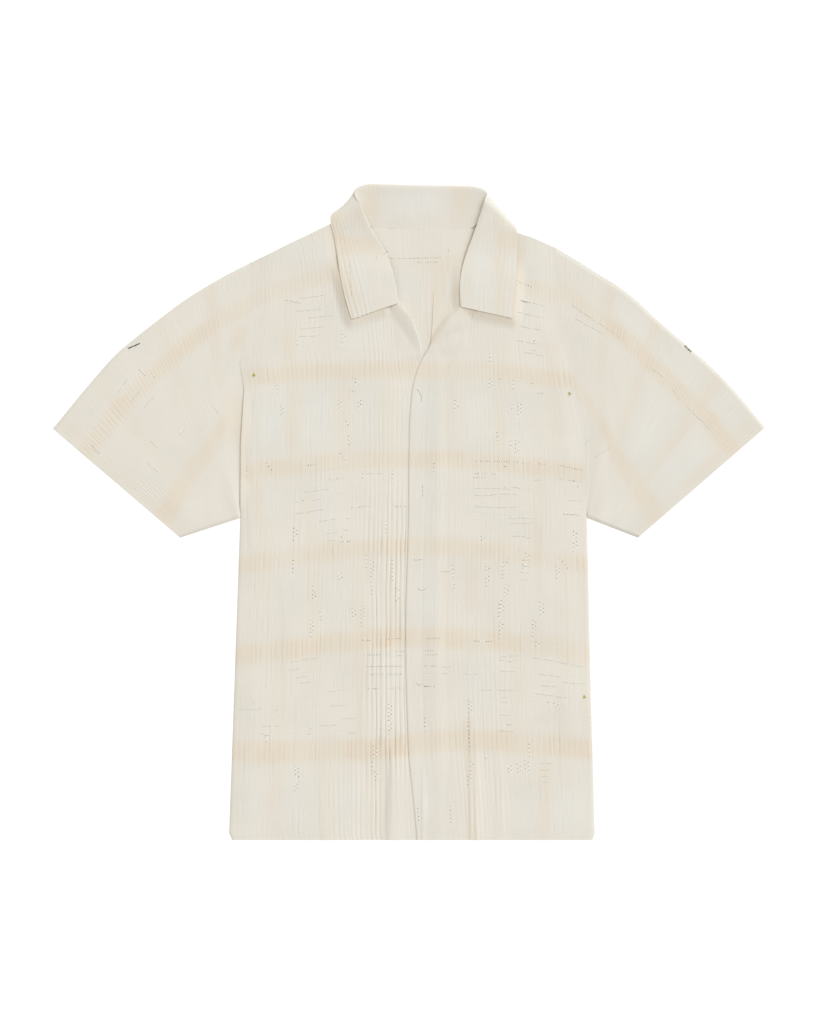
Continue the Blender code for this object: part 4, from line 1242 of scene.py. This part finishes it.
floats = {
    # runs of dots by turns: a dark dot, painted shade of a hole between floating threads, and a pale thread;
    # from and to, as places in the photo
    "dots": (
        (391, 258.5, 445, 257.5), (418, 262, 440, 262), (384, 249, 384.5, 257), (376, 258, 378, 258),
        (448, 250, 449, 250), (475, 461, 498, 461), (499, 461.5, 511, 461.5), (517, 462, 523, 463),
        (524, 463.5, 536, 463.5), (539, 464, 546, 464), (504, 466.5, 508, 466.5), (475, 473.5, 498, 474),
        (474, 477.5, 485, 477.5), (560, 465.5, 584, 470.5), (512, 487, 524, 488.5),
        (504, 487.5, 505, 487.5), (565, 514, 577, 514.5), (350, 390, 356, 391.5), (346, 421, 350, 428),
        (340, 453, 345, 462), (362.5, 473.5, 362.5, 478.5), (330, 478, 330, 481.5),
        (297.5, 502, 298.5, 502), (302.5, 500.5, 303.5, 500.5), (359, 507, 366, 506.5),
        (341, 537, 342.5, 537.5), (349.5, 541, 350.5, 541), (340, 542, 348, 541.5), (395, 506, 401, 506),
        (308, 465.5, 317, 464), (362, 640, 374, 640.5), (386, 639, 406, 638.5), (364, 655, 390, 655),
        (396, 651.5, 404, 651.5), (396, 655.5, 404, 655.5), (367, 666.5, 402, 666.5), (388, 674, 402, 674),
        (371, 674.5, 384, 674.5), (368, 689, 380, 688.5), (385, 688.5, 402, 688), (424, 639, 441, 638),
        (425, 651, 434, 650.5), (425, 655, 440, 654.5), (425, 666, 436, 666), (424, 686.5, 436, 686),
        (388.5, 704, 388.5, 722), (386, 520.5, 386, 534), (373, 746, 374, 760), (374.5, 772, 376, 781),
        (366, 555, 366.5, 575), (371, 560, 371, 580), (392, 560, 392.5, 584), (468, 700, 469, 716),
        (469, 734, 469.5, 748), (470, 762, 471, 776), (503, 562, 502, 582), (499, 604, 498, 620),
        (507.5, 558, 506, 572), (490, 353, 490, 362), (489.5, 379, 489.5, 390), (500.8, 379, 500.8, 380),
        (513, 380, 513, 392), (518, 402, 517.5, 417), (512, 404, 512, 411), (497, 432, 498, 444),
        (516, 440, 515, 456), (510.5, 441, 511, 447), (543, 393, 543, 400), (538, 393, 542, 393),
        (532, 350, 537, 350.5), (531, 383.5, 536, 383.5), (534, 341, 535, 341.5), (526, 553, 526, 561),
        (481, 536, 482, 544), (453, 565, 453, 578), (455, 400, 455, 410), (434, 463, 434, 474),
        (523, 560, 522, 574), (573.5, 531, 573.5, 552), (280, 406, 281.5, 418), (277, 385, 277.5, 396),
        (293.7, 528, 293.7, 541), (293, 560, 292.5, 576), (525, 760, 526, 776), (517, 764, 518, 776),
        (295, 766, 296, 781), (309, 734, 309.5, 738), (424.5, 718, 425, 728), (285, 300, 300, 303),
        (246, 467, 247, 474), (266, 463, 272, 471), (517, 281, 532, 287), (355, 378, 355.5, 386),
        (342, 334, 342, 343), (296, 340, 297, 348), (548, 702, 549, 711), (554, 703, 558, 712),
        (547, 724, 549, 724.5), (501, 702, 508, 702.5), (508, 725, 513, 725), (560, 478, 563, 480),
        (574, 481, 574, 482.5), (578, 486, 578, 487.5), (560, 558, 568, 569), (484, 754, 487, 760),
        (312, 586, 313, 602), (320, 612, 321, 624), (352, 608, 353, 620), (338, 571, 340, 583),
        (276.5, 710, 277, 714), (262, 734, 266, 742), (92, 446, 101, 455), (139, 370, 148, 378),
        (152, 373, 156, 380), (506, 584, 503.5, 600), (501.5, 600, 499.5, 620), (500, 622, 499, 640),
        (540, 602, 541, 618), (533, 620, 532.5, 638), (454, 580, 454, 594), (486, 566, 486, 590),
        (468.5, 718, 468, 734), (468, 776, 468, 790), (529, 744, 529.5, 757), (361, 606, 361, 630),
        (310, 620, 311, 640), (349, 436, 349, 446), (371, 582, 371.5, 598), (388.5, 722, 389, 736),
        (294, 782, 295, 792), (508, 764, 509, 776), (418, 808, 419, 822), (450, 806, 451, 826),
        (372, 762, 372.5, 776), (338, 400, 338, 412), (358, 398, 358, 410), (392, 470, 392, 482),
        (396, 588, 396, 604), (556, 566, 557, 580), (500, 660, 512, 662), (474, 641, 492, 641.5),
        (536, 642, 536, 650), (414, 560, 424, 559.5),
    ),
    # soft grey lines
    "lines": (
        (304, 492, 330, 489), (328, 480, 345, 478), (308, 512, 326, 509), (318, 521.5, 338, 518),
        (296, 514, 310, 512), (312, 500, 322, 499), (350, 508, 370, 506), (365, 474, 385, 473),
        (395, 507, 408, 506), (326, 534, 340, 532), (328, 541, 336, 540), (290, 662, 318, 658),
        (288, 670, 300, 669), (296, 677.5, 310, 676), (300, 683, 312, 682), (340, 719, 358, 718),
        (330, 706, 346, 705), (238, 709.5, 262, 709), (320, 726, 338, 725), (346, 733, 358, 733),
        (326, 692, 342, 690), (474, 488, 512, 489), (490, 494.5, 518, 494), (474, 506.5, 520, 507.5),
        (508, 518, 532, 518), (510, 524, 534, 523), (512, 536, 526, 536.5), (562, 514, 580, 515),
        (566, 480, 583, 481), (568, 500, 582, 501), (500, 656.5, 518, 656), (532, 657, 560, 662),
        (560, 663, 590, 668), (500, 671, 516, 671.5), (538, 674, 562, 677), (562, 682, 586, 684),
        (535, 693.5, 567, 698), (497, 690, 515, 690), (480, 690, 493, 690), (540, 685, 556, 687),
        (464, 674, 478, 674), (540, 763, 552, 763.5), (540, 770, 550, 770), (541, 776, 550, 776.5),
        (541, 782, 550, 782), (300, 298, 325, 295), (296, 311, 322, 309), (308, 318, 334, 315),
        (300, 329, 324, 327), (298, 337, 320, 335), (520, 300, 545, 306), (517, 312, 544, 318),
        (520, 326, 542, 330), (516, 340, 540, 344), (524, 352, 546, 356), (430, 666, 452, 667),
        (430, 673, 448, 673), (522, 560, 530, 560), (521, 566, 530, 566), (520, 573, 529, 573),
        (520, 580, 528, 580), (572, 305, 596, 321), (598, 322, 620, 337), (575, 318, 605, 335),
        (350, 262, 352, 300), (118, 392, 128, 378), (130, 402, 142, 388), (144, 408, 154, 396),
        (652, 368, 665, 378), (672, 388, 680, 400), (686, 405, 700, 420), (700, 418, 710, 430),
        (595, 458, 613, 445), (585, 445, 592, 435), (150, 440, 160, 450), (146, 462, 158, 472),
        (178, 436, 186, 428), (212, 405, 220, 415), (440, 572, 452, 571), (500, 697.5, 508, 697.5),
        (498, 731, 515, 731.5), (499, 715, 510, 715.5), (262, 726, 272, 726), (274, 726, 280, 726),
        (263, 735, 271, 735), (474, 495, 492, 495), (535, 693, 546, 695), (252, 702, 255, 702),
        (343, 530, 352, 530), (310, 729, 312, 729), (346, 518, 351, 518), (534, 480, 542, 480),
        (526, 537.5, 532, 537.5),
    ),
    "stepAcross": 2.85,    # from one dot to the next across the pleats: two to a pleat
    "stepAlong": 4.7,      # and along them
    "column": 3.4,         # to a second column beside a run along the pleats, half a step on
    "dotLength": 1.15,
    "dotRadius": 0.47,
    "lineRadius": 0.55,
    "lineDash": 11.0,
    "lineGap": 0.4,
    "sunk": -0.2,          # the middles of the threads lie below the cloth's surface
    "placed": 0.9,         # share of the dots that are there, and of them all how many are dark, in painted deep shade
    "dark": 0.5,
    "pale": 0.8,           # share of the dots with a pale thread after them
}

# Four stitched marks that hold the fastening under the band, a bar on each sleeve, three specks of green lint
marks = {
    "stitches": (
        ((417.0, 389.0), (419.5, 392.0), (421.5, 396.0), (421.3, 401.0)),
        ((422.8, 485.0), (422.6, 488.5)), ((422.9, 489.5), (423.0, 492.0)), ((422.8, 493.0), (422.7, 496.5)),
        ((417.7, 588.0), (420.0, 590.0), (423.0, 590.4), (425.8, 588.6)),
        ((415.7, 682.7), (419.3, 685.6), (422.4, 683.6)), ((424.0, 686.0), (429.4, 686.0)),
    ),
    "stitchRadius": 0.36,
    "bars": (
        ((128.0, 348.4), (134.0, 345.9), (140.0, 343.2)), ((684.6, 345.4), (687.6, 348.4), (691.4, 351.9)),
    ),
    "barRadius": 0.62,
    "barHighlightRadius": 0.5,   # of the painted highlight, a pale thread under each bar
    "specks": ((254.0, 375.0, 2.3), (570.0, 393.5, 2.0), (584.7, 697.0, 2.1)),
    "speckRadius": 0.75,
}

clothPieces = (collarPiece, frontBand, frontLeft, frontRight, sleeveRight, sleeveLeft, backPanel)
# A thread's rings: where they stand between its ends, -1 to 1, and their radius as a share of the thread's
spindle = {"sides": 6, "along": (-1.0, -0.72, 0.72, 1.0), "girth": (0.35, 1.0, 1.0, 0.35)}


def fromPhoto(px, py):
    return (px - photo["middleX"]) * photo["pixel"], (photo["middleY"] - py) * photo["pixel"]


def spindles(name, rows, material):
    # short six-sided threads with tapered ends; each row is x, y of one end, x, y of the other, radius, lift
    placed = []
    for startX, startY, endX, endY, radius, lift in rows:
        heights = heightAt(startX, startY, clothPieces), heightAt(endX, endY, clothPieces)
        if None not in heights:
            placed.append((startX, startY, heights[0] + lift, endX, endY, heights[1] + lift, radius))
    placed = np.array(placed)
    starts, ends, radii = placed[:, 0:3], placed[:, 3:6], placed[:, 6]
    middle, half = (starts + ends) / 2, (ends - starts) / 2
    direction = half / np.linalg.norm(half, axis=1, keepdims=True)
    side = np.cross(direction, (0.0, 0.0, 1.0))
    side /= np.linalg.norm(side, axis=1, keepdims=True)
    up = np.cross(side, direction)
    sides = spindle["sides"]
    angle = np.arange(sides) * 2 * np.pi / sides
    girth = np.array(spindle["girth"])[None, :, None, None] * radii[:, None, None, None]
    cosine, sine = np.cos(angle)[None, None, :, None], np.sin(angle)[None, None, :, None]
    ring = side[:, None, None] * cosine + up[:, None, None] * sine
    stations = middle[:, None] + half[:, None] * np.array(spindle["along"])[None, :, None]
    points = stations[:, :, None] + ring * girth
    index = np.arange(len(spindle["along"]) * sides).reshape(-1, sides)
    turned = np.roll(index, -1, axis=1)
    walls = np.stack([index[:-1], turned[:-1], turned[1:], index[1:]], axis=-1).reshape(-1, 4)
    # each six-sided end is two faces of four corners
    caps = [index[0, [0, 3, 2, 1]], index[0, [0, 5, 4, 3]], index[-1, [0, 1, 2, 3]], index[-1, [0, 3, 4, 5]]]
    one = np.concatenate([walls, caps])
    faces = (one[None] + np.arange(len(placed))[:, None, None] * index.size).reshape(-1, 4)
    piece, faces = meshFrom(name, points.reshape(-1, 3) * mm, faces)
    piece.data.materials.append(material)
    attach(piece, "root")
    print(name, len(faces) * 2, "triangles")
    return piece


def threadMaterial(name, colour, change):
    # one colour, lighter and darker by noise, at most by the share change
    material = bpy.data.materials.new(name)
    material.use_nodes = True
    tree = material.node_tree
    shader = tree.nodes["Principled BSDF"]
    place = put(tree, "TexCoord").outputs["Object"]
    noise = put(tree, "TexNoise", {"Vector": place, "Scale": 900.0, "Detail": 2.0}).outputs["Fac"]
    tone = sums(tree, "MULTIPLY_ADD", noise, 2 * change, 1 - change)
    toned = put(tree, "VectorMath", {0: colour, 3: tone}, operation="SCALE").outputs[0]
    tree.links.new(toned, shader.inputs["Base Color"])
    shader.inputs["Roughness"].default_value = 0.8
    shader.inputs["Specular IOR Level"].default_value = 0.2
    return material


def wayOf(run):
    # start, direction and length of a charted run
    (startX, startY), (endX, endY) = fromPhoto(*run[:2]), fromPhoto(*run[2:])
    length = math.hypot(endX - startX, endY - startY)
    return startX, startY, (endX - startX) / length, (endY - startY) / length, length


def runRows():
    # turn each charted run into short threads: a row of dark dots, painted shade of holes, with pale threads
    # between, or long thin dashes
    rng = np.random.default_rng(88)
    dark, middling, pale, grey = [], [], [], []

    def add(target, x, y, dirX, dirY, length, radius, lift=0.0):
        halfX, halfY = dirX * length / 2, dirY * length / 2
        target.append((x - halfX, y - halfY, x + halfX, y + halfY, radius, lift + floats["sunk"]))

    def addDots(startX, startY, dirX, dirY, length, step, begin):
        for at in np.arange(begin, max(length, begin + 0.1), step):
            x, y = startX + dirX * at + rng.uniform(-0.2, 0.2), startY + dirY * at + rng.uniform(-0.2, 0.2)
            chosen = rng.uniform()
            if chosen < floats["placed"]:
                target = dark if chosen < floats["dark"] else middling
                add(target, x, y, dirX, dirY, floats["dotLength"] * rng.uniform(0.8, 1.3),
                    floats["dotRadius"] * rng.uniform(0.8, 1.15))
            if rng.uniform() < floats["pale"]:
                add(pale, x + dirX * step / 2, y + dirY * step / 2, dirX, dirY, 0.4 * step,
                    floats["dotRadius"] * rng.uniform(0.8, 1.2), 0.05)

    for run in floats["dots"]:
        startX, startY, dirX, dirY, length = wayOf(run)
        if abs(dirY) < abs(dirX):
            addDots(startX, startY, dirX, dirY, length, floats["stepAcross"], 0.5)
            continue
        addDots(startX, startY, dirX, dirY, length, floats["stepAlong"], 0.5)
        if length > 9 and rng.uniform() < 0.6:
            addDots(startX + floats["column"], startY, dirX, dirY, length * 0.7, floats["stepAlong"],
                    0.5 + floats["stepAlong"] / 2)
    for run in floats["lines"]:
        startX, startY, dirX, dirY, length = wayOf(run)
        at = 0.0
        while at < length - 2:
            dash = min(floats["lineDash"] * rng.uniform(0.6, 1.4), length - at)
            middle = at + dash / 2
            x, y = startX + dirX * middle, startY + dirY * middle + rng.uniform(-0.35, 0.35)
            add(grey, x, y, dirX, dirY, dash, floats["lineRadius"], -0.08)
            if rng.uniform() < 0.3:
                add(pale, x - dirY * 1.3, y + dirX * 1.3, dirX, dirY, dash * 0.5,
                    floats["lineRadius"] * 0.8, -0.16)
            at += dash + floats["lineGap"]
    return dark, middling, pale, grey


def chain(pointsOfPhoto, radius, lift):
    # threads end to end along charted places
    places = [fromPhoto(*point) for point in pointsOfPhoto]
    return [(*a, *b, radius, lift) for a, b in zip(places[:-1], places[1:])]


def makeThreads():
    dark, middling, pale, grey = runRows()
    stitches = [row for mark in marks["stitches"] for row in chain(mark, marks["stitchRadius"], 0.0)]
    bars = [row for mark in marks["bars"] for row in chain(mark, marks["barRadius"], 0.2)]
    # painted highlight: a pale thread laid along each bar, a little below it
    moved = [[(px + 0.6, py + 1.6) for px, py in mark] for mark in marks["bars"]]
    beside = [row for mark in moved for row in chain(mark, marks["barHighlightRadius"], 0.0)]
    # the dark and middling dots are painted shade of holes between floating threads
    for name, rows, material, colour, change, slotName in (
            ("shadedHoleDots", dark, "shadedHoleColour", (0.16, 0.14, 0.115), 0.25, "pleated_cloth"),
            ("halfShadedHoleDots", middling, "halfShadedHoleColour", (0.34, 0.30, 0.25), 0.25, "pleated_cloth"),
            ("paleFloats", pale, "paleThread", (0.94, 0.93, 0.90), 0.05, "pleated_cloth"),
            ("greyFloats", grey, "greyThread", (0.67, 0.645, 0.565), 0.12, "pleated_cloth"),
            ("fasteningStitches", stitches, "stitchThread", (0.56, 0.53, 0.42), 0.25, "band_cloth"),
            ("sleeveBars", bars, "barThread", (0.10, 0.09, 0.075), 0.25, "pleated_cloth"),
            ("sleeveBarHighlights", beside, "barHighlightColour", (0.88, 0.87, 0.84), 0.08, "pleated_cloth"),
            ("greenSpecks", speckRows(), "greenLint", (0.52, 0.50, 0.10), 0.25, "pleated_cloth")):
        spindles(name, rows, threadMaterial(material, colour, change))


def speckRows():
    # lint: six short threads out from each place, unevenly long
    rng = np.random.default_rng(5)
    specks = []
    for px, py, size in marks["specks"]:
        x, y = fromPhoto(px, py)
        for angle in np.arange(6) * 2.1 + rng.uniform(0, 2):
            reach = size * rng.uniform(0.6, 1.1)
            cosine, sine = math.cos(angle), math.sin(angle)
            specks.append((x - 0.4 * cosine, y - 0.4 * sine, x + reach * cosine, y + reach * sine,
                           marks["speckRadius"], 0.3))
    return specks


bpy.context.view_layer.update()
makeThreads()


# Floor, camera and light

studio = {
    "floorSize": 8.0,      # half its side, in metres like the rest here
    "floorZ": -0.0004,
    "cameraAt": (0.0006, 0.0, 2.833),
    "lens": 85.0,
    "sunFrom": (0.586, 0.527, 0.616),   # upper right, 38 degrees above the table
    "sunPower": 2.0,
    "sunColour": (0.925, 1.0, 1.09),
    "sunAngle": 38.0,      # a wide soft source
    "sky": 0.62,
    "skyColour": (1.02, 0.975, 0.915, 1.0),
}


def makeFloor():
    mesh = bpy.data.meshes.new("floor")
    size = studio["floorSize"]
    corners = ((-size, -size), (size, -size), (size, size), (-size, size))
    mesh.from_pydata([(x, y, studio["floorZ"]) for x, y in corners], [], [(0, 1, 2, 3)])
    floor = bpy.data.objects.new("floor", mesh)
    bpy.context.scene.collection.objects.link(floor)
    material = bpy.data.materials.new("paleFloor")
    material.use_nodes = True
    shader = material.node_tree.nodes["Principled BSDF"]
    shader.inputs["Base Color"].default_value = (0.05, 0.05, 0.05, 1.0)
    shader.inputs["Roughness"].default_value = 0.9
    shader.inputs["Emission Color"].default_value = (1.0, 1.0, 1.0, 1.0)
    shader.inputs["Emission Strength"].default_value = 1.0
    mesh.materials.append(material)


def makeSun():
    data = bpy.data.lights.new("keySun", "SUN")
    data.energy = studio["sunPower"]
    data.color = studio["sunColour"]
    data.angle = math.radians(studio["sunAngle"])
    light = bpy.data.objects.new("keySun", data)
    light.rotation_euler = Vector(studio["sunFrom"]).to_track_quat("Z", "Y").to_euler()
    light.location = studio["sunFrom"]
    bpy.context.scene.collection.objects.link(light)


def makeStudio():
    scene = bpy.context.scene
    makeFloor()
    makeSun()
    world = bpy.data.worlds.new("studioSky")
    world.use_nodes = True
    world.node_tree.nodes["Background"].inputs["Color"].default_value = studio["skyColour"]
    world.node_tree.nodes["Background"].inputs["Strength"].default_value = studio["sky"]
    scene.world = world
    scene.view_settings.view_transform = "Standard"
    data = bpy.data.cameras.new("camera")
    data.lens = studio["lens"]
    data.sensor_width = 36.0
    data.clip_start, data.clip_end = 0.1, 20.0
    camera = bpy.data.objects.new("camera", data)
    camera.location = studio["cameraAt"]
    scene.collection.objects.link(camera)
    scene.camera = camera


makeStudio()
print("studio made")
